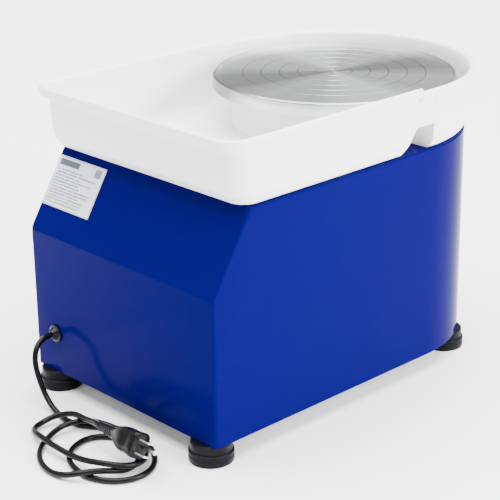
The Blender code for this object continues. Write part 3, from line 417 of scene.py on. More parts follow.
def finishes() -> Dict[str, Finish]:
    """The finish of every material slot of the machine."""
    rise = DECK_TOP - 0.1676
    foot = (REAR_X, 0.1676)
    centre = (AXIS_X, 0.0)
    listed = [
        Enamel("blue_enamel", (0.0030, 0.0008, 0.074), 0.15, grain_depth=0.00005, specular=0.012),
        Brushed("zinc_plate", (0.55, 0.56, 0.58), 0.40, 1.0, mottle=0.10, grain_depth=0.00003),
        Finish("white_plastic", (0.91, 0.91, 0.91), 0.20, mottle=0.015, wander=0.04, grain_scale=900.0,
               grain_depth=0.00005),
        # The turned head's colour carries painted sheen wedges and painted shade over its grooves.
        Turned("turned_aluminium", (0.52, 0.53, 0.54), 0.25, 1.0, grain_depth=0.00002, centre=centre,
               sheen_fans=0.62, sheen_facing=-0.677, groove_shade_radii=HEAD_RINGS + (HEAD_EDGE_LINE,)),
        Brushed("bright_steel", (0.62, 0.63, 0.65), 0.26, 1.0, grain_depth=0.00002),
        Finish("cast_iron", (0.09, 0.09, 0.10), 0.62, 0.6, 0.25, 60.0, 0.1, 500.0, 0.0005),
        Finish("black_paint", (0.02, 0.02, 0.022), 0.42, 0.0, 0.15, 40.0, 0.08, 700.0, 0.0002),
        Finish("black_rubber", (0.004, 0.004, 0.006), 0.36, 0.0, 0.25, 70.0, 0.10, 1300.0, 0.00015,
               specular=0.07),
        Finish("circuit_board", (0.02, 0.16, 0.06), 0.40, 0.0, 0.20, 160.0, 0.05, 600.0, 0.0001),
        Finish("capacitor_sleeve", (0.02, 0.03, 0.10), 0.30, 0.0, 0.10, 80.0),
        DialPanel("panel_black", (0.018, 0.018, 0.021), 0.40, grain_depth=0.00010, specular=0.12),
        Finish("display_glass", (0.010, 0.014, 0.014), 0.08, 0.0, 0.10, 50.0, 0.02, 600.0, 0.00001, 0.5),
        Finish("switch_black", (0.016, 0.016, 0.017), 0.32, 0.0, 0.15, 90.0, 0.05, 1500.0, 0.00010),
        LabelFilm("label_film", (0.66, 0.69, 0.74), 0.36, foot=foot, slope=math.atan2(rise, 0.0472)),
        Finish("cord_black", (0.0035, 0.0035, 0.004), 0.22, 0.0, 0.20, 120.0, 0.06, 1500.0, 0.00006,
               specular=0.14),
        Brushed("nickel_pin", (0.70, 0.68, 0.62), 0.22, 1.0, grain_depth=0.00002),
    ]
    return {finish.name: finish for finish in listed}


class Wardrobe:
    """The materials by slot, made once each."""

    def __init__(self) -> None:
        """Build every slot's material."""
        self.materials = {name: finish.material() for name, finish in finishes().items()}
        knob = KnobFinish("knob_black", (0.016, 0.016, 0.017), 0.36, grain_depth=0.0001)
        self.materials["knob"] = knob.material()
        self.materials["plug_face"] = Finish("plug_face_grey", (0.120, 0.120, 0.122), 0.60, 0.0, 0.3, 300.0,
                                             0.1, 900.0, 0.0003).material()

    def dress(self, piece: bpy.types.Object, *slots: str) -> None:
        """Give a piece one material, or several by index."""
        piece.data.materials.clear()
        for slot in slots:
            piece.data.materials.append(self.materials[slot])

    def dress_frame(self, record: Dict[str, object], nodes: Dict[str, bpy.types.Object]) -> None:
        """Give each node of the frame the material of its slot."""
        for part in record["subparts"]:
            self.dress(nodes[part["node"]], part["material_slot"])
            LOG.info("dressed %s as %s", part["node"], part["material_slot"])


# ---------------------------------------------------------------- shaping
def softened(rows: Sequence[Sequence[float]], rounds: int = 2) -> List[Tuple[float, ...]]:
    """Cut the corners of a row of sections, which keeps its two ends.

    Args:
        rows: The sections, each a tuple of numbers.
        rounds: How many times the corners are cut.

    Returns:
        The longer, smoother row.
    """
    smooth = [tuple(row) for row in rows]
    for _ in range(rounds):
        cut = [smooth[0]]
        for first, second in zip(smooth, smooth[1:]):
            cut.append(tuple(0.75 * a + 0.25 * b for a, b in zip(first, second)))
            cut.append(tuple(0.25 * a + 0.75 * b for a, b in zip(first, second)))
        smooth = cut + [smooth[-1]]
    return smooth


class Shape:
    """A bmesh under construction, turned into an object when it is done."""

    def __init__(self) -> None:
        """Start empty."""
        self.bm = bmesh.new()

    def chain(self, points: Sequence[Point], closed: bool = False) -> List[bmesh.types.BMEdge]:
        """Join points by edges.

        Args:
            points: The points in order.
            closed: Whether the last joins the first.

        Returns:
            The edges.
        """
        verts = [self.bm.verts.new(point) for point in points]
        pairs = list(zip(verts, verts[1:])) + ([(verts[-1], verts[0])] if closed else [])
        return [self.bm.edges.new(pair) for pair in pairs]

    def turned(self, profile: Sequence[Tuple[float, float]], centre: Point, steps: int = 96,
               closed: bool = False) -> "Shape":
        """Spin a profile of radius and height round an upright axis.

        Args:
            profile: The radius and height of each point.
            centre: Where the axis stands.
            steps: Steps round the turn.
            closed: Whether the profile is a ring of its own, off the axis.

        Returns:
            This shape.
        """
        points = [(centre[0] + radius, centre[1], centre[2] + height) for radius, height in profile]
        edges = self.chain(points, closed)
        verts = list({vert for edge in edges for vert in edge.verts})
        bmesh.ops.spin(self.bm, geom=verts + edges, cent=centre, axis=(0, 0, 1), angle=2 * math.pi, steps=steps,
                       use_merge=True)
        return self.healed()

    def healed(self) -> "Shape":
        """Merge doubles and point the faces outwards."""
        bmesh.ops.remove_doubles(self.bm, verts=self.bm.verts, dist=1e-6)
        bmesh.ops.recalc_face_normals(self.bm, faces=self.bm.faces)
        return self

    def arc(self, start: Point, centre: Point, angle: float, steps: int) -> Tuple[object, object]:
        """Spin one point into an arc.

        Args:
            start: Where it starts.
            centre: The arc's centre.
            angle: How far it turns.
            steps: How many edges it has.

        Returns:
            The arc's first and last vertices.
        """
        vert = self.bm.verts.new(start)
        made = bmesh.ops.spin(self.bm, geom=[vert], cent=centre, axis=(0, 0, 1), angle=angle, steps=steps)
        return vert, next(item for item in made["geom_last"] if isinstance(item, bmesh.types.BMVert))

    def plan_ring(self, rear: float, half: float, corner: float, z: float, front_steps: int = 72,
                  corner_steps: int = 8) -> List[bmesh.types.BMEdge]:
        """Draw the machine's plan: a half-round front, straight sides and two rounded rear corners.

        Args:
            rear: X of the rear.
            half: Half of the width.
            corner: Radius of the rear corners.
            z: Height.
            front_steps: Edges in the front.
            corner_steps: Edges in each corner.

        Returns:
            The ring's edges.
        """
        before = set(self.bm.edges)
        inner = half - corner
        right = self.arc((rear, -inner, z), (rear + corner, -inner, z), math.pi / 2, corner_steps)
        front = self.arc((AXIS_X, -half, z), (AXIS_X, 0, z), math.pi, front_steps)
        left = self.arc((rear + corner, half, z), (rear + corner, inner, z), math.pi / 2, corner_steps)
        for first, second in ((right[1], front[0]), (front[1], left[0]), (left[1], right[0])):
            self.bm.edges.new((first, second))
        return [edge for edge in self.bm.edges if edge not in before]

    def stacked(self, loops: Sequence[List[bmesh.types.BMEdge]]) -> "Shape":
        """Draw the first ring out through the places of the others, and cap both ends."""
        self.bm.verts.index_update()
        rings = [sorted({vert for edge in loop for vert in edge.verts}, key=lambda item: item.index)
                 for loop in loops]
        places = [[vert.co.copy() for vert in ring] for ring in rings[1:]]
        bmesh.ops.delete(self.bm, geom=[vert for ring in rings[1:] for vert in ring], context="VERTS")
        verts, last = rings[0], loops[0]
        for row in places:
            made = bmesh.ops.extrude_edge_only(self.bm, edges=last)["geom"]
            fresh = {item for item in made if isinstance(item, bmesh.types.BMVert)}
            verts = [next(edge.other_vert(vert) for edge in vert.link_edges if edge.other_vert(vert) in fresh)
                     for vert in verts]
            for vert, spot in zip(verts, row):
                vert.co = spot
            last = [item for item in made
                    if isinstance(item, bmesh.types.BMEdge) and set(item.verts) <= fresh]
        for loop in (loops[0], last):
            bmesh.ops.contextual_create(self.bm, geom=loop)
        bmesh.ops.recalc_face_normals(self.bm, faces=self.bm.faces)
        return self

    def prism(self, outline: Sequence[Tuple[float, float]], low: float, high: float) -> "Shape":
        """Extrude an outline in X and Z across the machine.

        Args:
            outline: The X and Z of its corners.
            low: Y of one end.
            high: Y of the other.

        Returns:
            This shape.
        """
        edges = self.chain([(x, low, z) for x, z in outline], True)
        face = bmesh.ops.contextual_create(self.bm, geom=edges)["faces"]
        moved = bmesh.ops.extrude_face_region(self.bm, geom=face)["geom"]
        verts = [item for item in moved if isinstance(item, bmesh.types.BMVert)]
        bmesh.ops.translate(self.bm, vec=(0, high - low, 0), verts=verts)
        return self.healed()

    def box(self, low: Point, high: Point) -> "Shape":
        """A block between two corners."""
        middle = [(a + b) / 2 for a, b in zip(low, high)]
        size = [b - a for a, b in zip(low, high)]
        matrix = Matrix.Translation(middle) @ Matrix.Diagonal((*size, 1.0))
        bmesh.ops.create_cube(self.bm, size=1.0, matrix=matrix)
        return self

    def rod(self, radius: float, start: Point, end: Point, segments: int = 48) -> "Shape":
        """A closed cylinder between two points."""
        line = Vector(end) - Vector(start)
        turn = line.to_track_quat("Z", "Y").to_matrix().to_4x4()
        matrix = Matrix.Translation((Vector(start) + Vector(end)) / 2) @ turn
        bmesh.ops.create_cone(self.bm, cap_ends=True, segments=segments, radius1=radius, radius2=radius,
                              depth=line.length, matrix=matrix)
        return self

    def moved(self, matrix: Matrix) -> "Shape":
        """Carry the whole shape to its place."""
        bmesh.ops.transform(self.bm, matrix=matrix, verts=self.bm.verts)
        return self

    def bevelled(self, edges: Sequence[bmesh.types.BMEdge], width: float, segments: int = 4) -> "Shape":
        """Round some edges."""
        bmesh.ops.bevel(self.bm, geom=list(edges), offset=width, offset_type="OFFSET", affect="EDGES",
                        segments=segments, profile=0.5, material=-1, clamp_overlap=True)
        return self

    def finished(self, name: str, crease: float = 38.0) -> bpy.types.Object:
        """Turn the shape into an object with smooth faces and sharp creases."""
        mesh = bpy.data.meshes.new(name)
        self.bm.to_mesh(mesh)
        self.bm.free()
        piece = bpy.data.objects.new(name, mesh)
        bpy.context.scene.collection.objects.link(piece)
        smooth(piece, crease)
        return piece


def smooth(piece: bpy.types.Object, crease: float) -> None:
    """Shade a piece smooth, apart from creases sharper than an angle in degrees."""
    piece.data.shade_smooth()
    piece.data.set_sharp_from_angle(angle=math.radians(crease))


def bake(piece: bpy.types.Object) -> None:
    """Replace a piece's mesh by what its modifiers make of it."""
    graph = bpy.context.evaluated_depsgraph_get()
    mesh = bpy.data.meshes.new_from_object(piece.evaluated_get(graph))
    piece.modifiers.clear()
    old = piece.data
    piece.data = mesh
    bpy.data.meshes.remove(old)


def carve(piece: bpy.types.Object, tool: Shape, cut: Cut = Cut.AWAY) -> None:
    """Change a piece by a closed tool, which is used up.

    Args:
        piece: The closed piece to change.
        tool: The closed shape that changes it.
        cut: What the tool does.
    """
    cutter = tool.finished("tool")
    modifier = piece.modifiers.new("carve", "BOOLEAN")
    modifier.operation = cut.value
    modifier.solver = "EXACT"
    modifier.object = cutter
    bpy.context.view_layer.update()
    bake(piece)
    bpy.data.objects.remove(cutter)


def reopened(piece: bpy.types.Object) -> Shape:
    """Take a finished piece back into a shape, and remove it."""
    shape = Shape()
    shape.bm.from_mesh(piece.data)
    bpy.data.objects.remove(piece)
    return shape


def soften_edges(piece: bpy.types.Object, width: float, segments: int = 2, angle: float = 50.0) -> None:
    """Round a piece's sharp edges with a modifier."""
    bevel = piece.modifiers.new("soft_edges", "BEVEL")
    bevel.width = width
    bevel.segments = segments
    bevel.limit_method = "ANGLE"
    bevel.angle_limit = math.radians(angle)
    bevel.harden_normals = True


def hand_over(piece: bpy.types.Object, body: str, slot: str, *nodes: str) -> None:
    """Join a piece to its body, and let it stand for nodes of the frame, which are hidden."""
    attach(piece, body)
    if nodes:
        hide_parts(*nodes)
    LOG.info("made %s: %d faces, rides on %s", piece.name, len(getattr(piece.data, "polygons", [])), body)


# ---------------------------------------------------------------- studio
@dataclass
class Studio:
    """Camera, soft lights, pale floor and surround."""

    eye: Point = (-1.0706, -1.0892, 0.7096)
    ahead: Point = (0.64071, 0.67862, -0.35911)
    above: Point = (0.25541, 0.25270, 0.93323)
    lens: float = 113.8
    floor_half: float = 9.0
    surround: float = 0.8

    def camera(self) -> None:
        """Stand the camera at its place."""
        data = bpy.data.cameras.new("camera")
        data.lens = self.lens
        data.sensor_width = 36.0
        data.clip_end = 60.0
        camera = bpy.data.objects.new("camera", data)
        bpy.context.scene.collection.objects.link(camera)
        ahead = Vector(self.ahead).normalized()
        right = ahead.cross(Vector(self.above)).normalized()
        above = right.cross(ahead)
        turn = Matrix((right, above, -ahead)).transposed().to_4x4()
        camera.matrix_world = Matrix.Translation(self.eye) @ turn
        bpy.context.scene.camera = camera

    def light(self, name: str, spot: Point, aim: Point, size: Tuple[float, float], power: float) -> None:
        """Hang one soft box.

        Args:
            name: Its name.
            spot: Where it hangs.
            aim: What it points at.
            size: Its width and height.
            power: Its power in watts.
        """
        data = bpy.data.lights.new(name, "AREA")
        data.shape = "RECTANGLE"
        data.size, data.size_y = size
        data.energy = power
        lamp = bpy.data.objects.new(name, data)
        lamp.location = spot
        lamp.rotation_euler = (Vector(aim) - Vector(spot)).to_track_quat("-Z", "Y").to_euler()
        bpy.context.scene.collection.objects.link(lamp)

    def floor(self) -> None:
        """Lay the pale floor."""
        shape = Shape()
        bmesh.ops.create_grid(shape.bm, x_segments=8, y_segments=8, size=self.floor_half)
        ground = shape.finished("studio_floor")
        paper = Finish("floor_paper", (0.93, 0.93, 0.93), 0.85, mottle=0.004, grain_depth=0.00002)
        ground.data.materials.append(paper.material())

    def build(self) -> None:
        """Set up the whole studio."""
        self.camera()
        self.floor()
        world = bpy.data.worlds.new("surround")
        world.use_nodes = True
        backdrop = world.node_tree.nodes["Background"]
        backdrop.inputs["Color"].default_value = (1.0, 1.0, 1.0, 1.0)
        backdrop.inputs["Strength"].default_value = self.surround
        bpy.context.scene.world = world
        self.light("key_box", (0.5, -1.9, 1.1), (0.0, 0.0, 0.16), (1.1, 0.9), 95.0)
        self.light("top_box", (0.3, 0.6, 4.0), (0.3, 0.6, 0.0), (6.0, 6.0), 1200.0)
        LOG.info("studio is set")


# ---------------------------------------------------------------- mains lead
LEAD_ROUTE: List[Point] = [
    (-0.2223, 0.1018, 0.0636), (-0.2270, 0.1018, 0.0635), (-0.2352, 0.1012, 0.0614),
    (-0.2428, 0.0990, 0.0553), (-0.2474, 0.0955, 0.0455), (-0.2490, 0.0905, 0.0340),
    (-0.2493, 0.0843, 0.0228), (-0.2498, 0.0762, 0.0130), (-0.2510, 0.0650, 0.0060),
    (-0.2530, 0.0510, 0.0032), (-0.2545, 0.0380, 0.0031), (-0.2520, 0.0240, 0.0031),
    (-0.2430, 0.0080, 0.0031), (-0.2320, -0.0070, 0.0031), (-0.2260, -0.0260, 0.0031),
    (-0.2280, -0.0480, 0.0031), (-0.2360, -0.0690, 0.0031), (-0.2490, -0.0870, 0.0031),
    (-0.2660, -0.0970, 0.0031), (-0.2850, -0.0960, 0.0031), (-0.3010, -0.0840, 0.0031),
    (-0.3090, -0.0640, 0.0031), (-0.3080, -0.0430, 0.0031), (-0.2980, -0.0220, 0.0031),
    (-0.2810, -0.0095, 0.0031), (-0.2630, -0.0070, 0.0031), (-0.2490, -0.0150, 0.0031),
    (-0.2425, -0.0300, 0.0031), (-0.2425, -0.0470, 0.0031), (-0.2490, -0.0640, 0.0031),
    (-0.2620, -0.0765, 0.0031), (-0.2790, -0.0800, 0.0040), (-0.2960, -0.0750, 0.0078),
    (-0.3110, -0.0670, 0.0094), (-0.3230, -0.0550, 0.0065), (-0.3280, -0.0360, 0.0033),
    (-0.3240, -0.0140, 0.0031), (-0.3110, 0.0060, 0.0031), (-0.2920, 0.0200, 0.0036),
    (-0.2700, 0.0240, 0.0075), (-0.2520, 0.0160, 0.0094), (-0.2420, 0.0010, 0.0094),
    (-0.2390, -0.0180, 0.0094), (-0.2395, -0.0370, 0.0094), (-0.2430, -0.0560, 0.0094),
    (-0.2485, -0.0735, 0.0094), (-0.2595, -0.0850, 0.0096), (-0.2735, -0.0885, 0.0108),
    (-0.2875, -0.0835, 0.0135), (-0.2970, -0.0710, 0.0146), (-0.3010, -0.0540, 0.0120),
    (-0.3020, -0.0360, 0.0096), (-0.3025, -0.0170, 0.0094), (-0.3015, 0.0060, 0.0094),
    (-0.2995, 0.0220, 0.0090), (-0.2952, 0.0360, 0.0064), (-0.2875, 0.0448, 0.0048),
    (-0.2768, 0.0480, 0.0052), (-0.2662, 0.0452, 0.0082), (-0.2584, 0.0370, 0.0114),
    (-0.2550, 0.0250, 0.0146), (-0.2556, 0.0090, 0.0162), (-0.2590, -0.0100, 0.0205),
]


@dataclass
class Lead:
    """The mains lead on the floor, with its moulded plug."""

    diameter: float = 0.0058
    exit_length: float = 0.0070
    exit_y: float = 0.1018
    exit_z: float = 0.0636
    tail: Point = (-0.2630, -0.0255, 0.0238)
    turn: Point = (-4.5, -60.0, -5.0)
    plug_length: float = 0.0660
    grip_rings: int = 6

    def plug_matrix(self) -> Matrix:
        """Where the plug lies: its tail at the origin and its pins towards -Y."""
        angles = Euler([math.radians(value) for value in self.turn], "YXZ")
        return Matrix.Translation(self.tail) @ angles.to_matrix().to_4x4()

    def path(self, spacing: float) -> List[Vector]:
        """Points on the natural cubic curve through the route.

        Args:
            spacing: About how far apart they are.

        Returns:
            The points from the exit to the plug.
        """
        axis = self.plug_matrix().to_3x3() @ Vector((0.0, -1.0, 0.0))
        stub = self.diameter / 2
        start = Vector((REAR_X - self.exit_length - GAP, self.exit_y, self.exit_z))
        end = Vector(self.tail) - (GAP + stub) * axis
        points = np.array([(start.x - stub, start.y, start.z)] + LEAD_ROUTE[1:] + [tuple(end)])
        steps = np.linalg.norm(np.diff(points, axis=0), axis=1)
        knots = np.concatenate(([0.0], np.cumsum(steps)))
        count = len(points)
        system = np.eye(count)
        right = np.zeros((count, 3))
        for i in range(1, count - 1):
            before, after = steps[i - 1], steps[i]
            system[i, i - 1:i + 2] = (before, 2 * (before + after), after)
            right[i] = 6 * ((points[i + 1] - points[i]) / after - (points[i] - points[i - 1]) / before)
        bend = np.linalg.solve(system, right)
        curve = [start]
        for along in np.linspace(0.0, knots[-1], int(knots[-1] / spacing) + 1):
            i = min(int(np.searchsorted(knots, along, side="right")) - 1, count - 2)
            a, b, step = knots[i + 1] - along, along - knots[i], steps[i]
            spot = (bend[i] * a ** 3 + bend[i + 1] * b ** 3) / (6 * step)
            spot = spot + (points[i] / step - bend[i] * step / 6) * a
            spot = spot + (points[i + 1] / step - bend[i + 1] * step / 6) * b
            curve.append(Vector(spot))
        return curve + [Vector(self.tail) - GAP * axis]

    def cord(self) -> Tuple[bpy.types.Object, float]:
        """Lay the cord.

        Returns:
            The cord and its length.
        """
        path = self.path(self.diameter)
        data = bpy.data.curves.new("lead", "CURVE")
        data.dimensions = "3D"
        data.bevel_depth = self.diameter / 2
        data.bevel_resolution = 5
        data.use_fill_caps = True
        spline = data.splines.new("POLY")
        spline.points.add(len(path) - 1)
        for point, spot in zip(spline.points, path):
            point.co = (*spot, 1.0)
        spline.use_smooth = True
        cord = bpy.data.objects.new("lead", data)
        bpy.context.scene.collection.objects.link(cord)
        return cord, sum((b - a).length for a, b in zip(path, path[1:]))

    def plug(self) -> bpy.types.Object:
        """Mould the plug: a ringed tail that swells into a squared grip."""
        end = self.diameter / 2 + 0.0012
        rows = [(0.0, end, end, 1.0)]
        for index in range(self.grip_rings):
            along = 0.0035 + 0.0038 * index
            swell = along / 0.028
            wide, tall = end + (0.0062 - end) * swell, end + (0.0056 - end) * swell
            rows += [(along, wide, tall, 1.0), (along + 0.0003, wide - 0.0004, tall - 0.0004, 1.0),
                     (along + 0.0012, wide - 0.0004, tall - 0.0004, 1.0), (along + 0.0015, wide, tall, 1.0)]
        shoulder = softened([(0.0280, 0.0062, 0.0056, 0.9), (0.0340, 0.0090, 0.0075, 0.7),
                             (0.0440, 0.0122, 0.0094, 0.5), (0.0540, 0.0116, 0.0090, 0.5),
                             (0.0610, 0.0125, 0.0100, 0.5), (0.0645, 0.0125, 0.0100, 0.5)])
        length = self.plug_length
        rows += shoulder + [(length - 0.0006, 0.0122, 0.0097, 0.5), (length, 0.0115, 0.0090, 0.5)]
        shape = Shape()
        loops = []
        for along, wide, tall, power in rows:
            ring = bmesh.ops.create_circle(shape.bm, cap_ends=False, radius=1.0, segments=56)["verts"]
            for vert in ring:
                c, s = vert.co.x, vert.co.y
                across, up = math.copysign(abs(c) ** power, c), math.copysign(abs(s) ** power, s)
                vert.co = (wide * across, -along, tall * up)
            loops.append(list({edge for vert in ring for edge in vert.link_edges}))
        shape.stacked(loops)
        face = max(shape.bm.faces, key=lambda item: -item.calc_center_median().y)
        face.material_index = 1
        return shape.moved(self.plug_matrix()).finished("plug_moulding", 50.0)

    def build(self, wardrobe: Wardrobe) -> None:
        cord, length = self.cord()
        wardrobe.dress(cord, "cord_black")
        hand_over(cord, "housing", "cord_black", "power_cord")
        plug = self.plug()
        wardrobe.dress(plug, "cord_black", "plug_face")
        hand_over(plug, "housing", "cord_black", "plug_body")


# ---------------------------------------------------------------- housing
@dataclass
class Housing:
    """The bent sheet housing, its rubber feet and nothing of the works inside."""

    bottom: float = 0.0214
    shoulder_z: float = 0.1676
    shoulder_run: float = 0.0472
    sheet: float = 0.0012
    corner: float = 0.0035
    fold: float = 0.0020
    neck_hole: float = 0.0297
    reach: float = 0.02
    panel_middle: Tuple[float, float] = (-0.050, 0.178)
    panel_window: Tuple[float, float] = (0.073, 0.019)
    gland: Point = (0.1018, 0.0636, 0.0068)
    feet: Dict[str, Tuple[float, float]] = field(default_factory=lambda: {
        "rear_left": (-0.2024, 0.1139), "rear_right": (-0.2024, -0.1139),
        "front_left": (0.1478, 0.0993), "front_right": (0.1478, -0.0993)})

    def skin(self) -> bpy.types.Object:
        """Bend the skin: a plan drawn up, a shoulder sliced off, folds rounded, and a sheet's thickness."""
        shape = Shape()
        ring = shape.plan_ring(REAR_X, HALF_WIDTH, self.corner, self.bottom, 96, 6)
        bmesh.ops.contextual_create(shape.bm, geom=ring)
        moved = bmesh.ops.extrude_face_region(shape.bm, geom=shape.bm.faces[:])["geom"]
        lifted = [item for item in moved if isinstance(item, bmesh.types.BMVert)]
        bmesh.ops.translate(shape.bm, vec=(0, 0, DECK_TOP - self.bottom), verts=lifted)
        rise = DECK_TOP - self.shoulder_z
        normal = Vector((-rise, 0.0, self.shoulder_run)).normalized()
        whole = shape.bm.verts[:] + shape.bm.edges[:] + shape.bm.faces[:]
        foot = (REAR_X, 0.0, self.shoulder_z)
        cut = bmesh.ops.bisect_plane(shape.bm, geom=whole, plane_co=foot, plane_no=normal,
                                     clear_outer=True)["geom_cut"]
        rim = [item for item in cut if isinstance(item, bmesh.types.BMEdge)]
        bmesh.ops.contextual_create(shape.bm, geom=rim)
        shape.healed()
        floor_faces = [face for face in shape.bm.faces if face.calc_center_median().z < self.bottom + 1e-5]
        bmesh.ops.delete(shape.bm, geom=floor_faces, context="FACES_ONLY")
        folds = [edge for edge in shape.bm.edges
                 if len(edge.link_faces) == 2 and edge.calc_face_angle(0.0) > math.radians(25.0)]
        shape.bevelled(folds, self.fold, 5)
        skin = shape.finished("housing_skin", 30.0)
        wall = skin.modifiers.new("sheet", "SOLIDIFY")
        wall.thickness = self.sheet
        wall.offset = -1.0
        bpy.context.view_layer.update()
        bake(skin)
        carve(skin, Shape().rod(self.neck_hole, (AXIS_X, 0, DECK_TOP - self.reach),
                                (AXIS_X, 0, DECK_TOP + self.reach)))
        x, z = self.panel_middle
        wide, tall = self.panel_window
        near, past = HALF_WIDTH - self.reach, HALF_WIDTH + self.reach
        carve(skin, Shape().box((x - wide, near, z - tall), (x + wide, past, z + tall)))
        y, z, radius = self.gland
        carve(skin, Shape().rod(radius, (REAR_X - self.reach, y, z), (REAR_X + self.reach, y, z)))
        smooth(skin, 30.0)
        return skin

    def foot(self, name: str, x: float, y: float) -> bpy.types.Object:
        """Mould one rubber foot with its groove and its bolt recess."""
        top = self.bottom - GAP
        profile = [(0.0033, top), (0.0186, top), (0.0198, top - 0.0012), (0.0202, 0.0130), (0.0199, 0.0124),
                   (0.0201, 0.0116), (0.0212, 0.0112), (0.0217, 0.0106), (0.0217, 0.0074), (0.0212, 0.0070),
                   (0.0212, 0.0064), (0.0217, 0.0060), (0.0217, 0.0014), (0.0213, 0.0005), (0.0204, 0.0),
                   (0.0085, 0.0), (0.0085, 0.0100), (0.0033, 0.0100)]
        return Shape().turned(profile, (x, y, 0.0), 72, True).finished("rubber_foot_" + name, 35.0)

    def build(self, wardrobe: Wardrobe) -> None:
        """Make the skin and the feet."""
        skin = self.skin()
        wardrobe.dress(skin, "blue_enamel")
        hand_over(skin, "housing", "blue_enamel", "housing_shell")
        for name, (x, y) in self.feet.items():
            foot = self.foot(name, x, y)
            wardrobe.dress(foot, "black_rubber")
            hand_over(foot, "housing", "black_rubber", "foot_" + name)


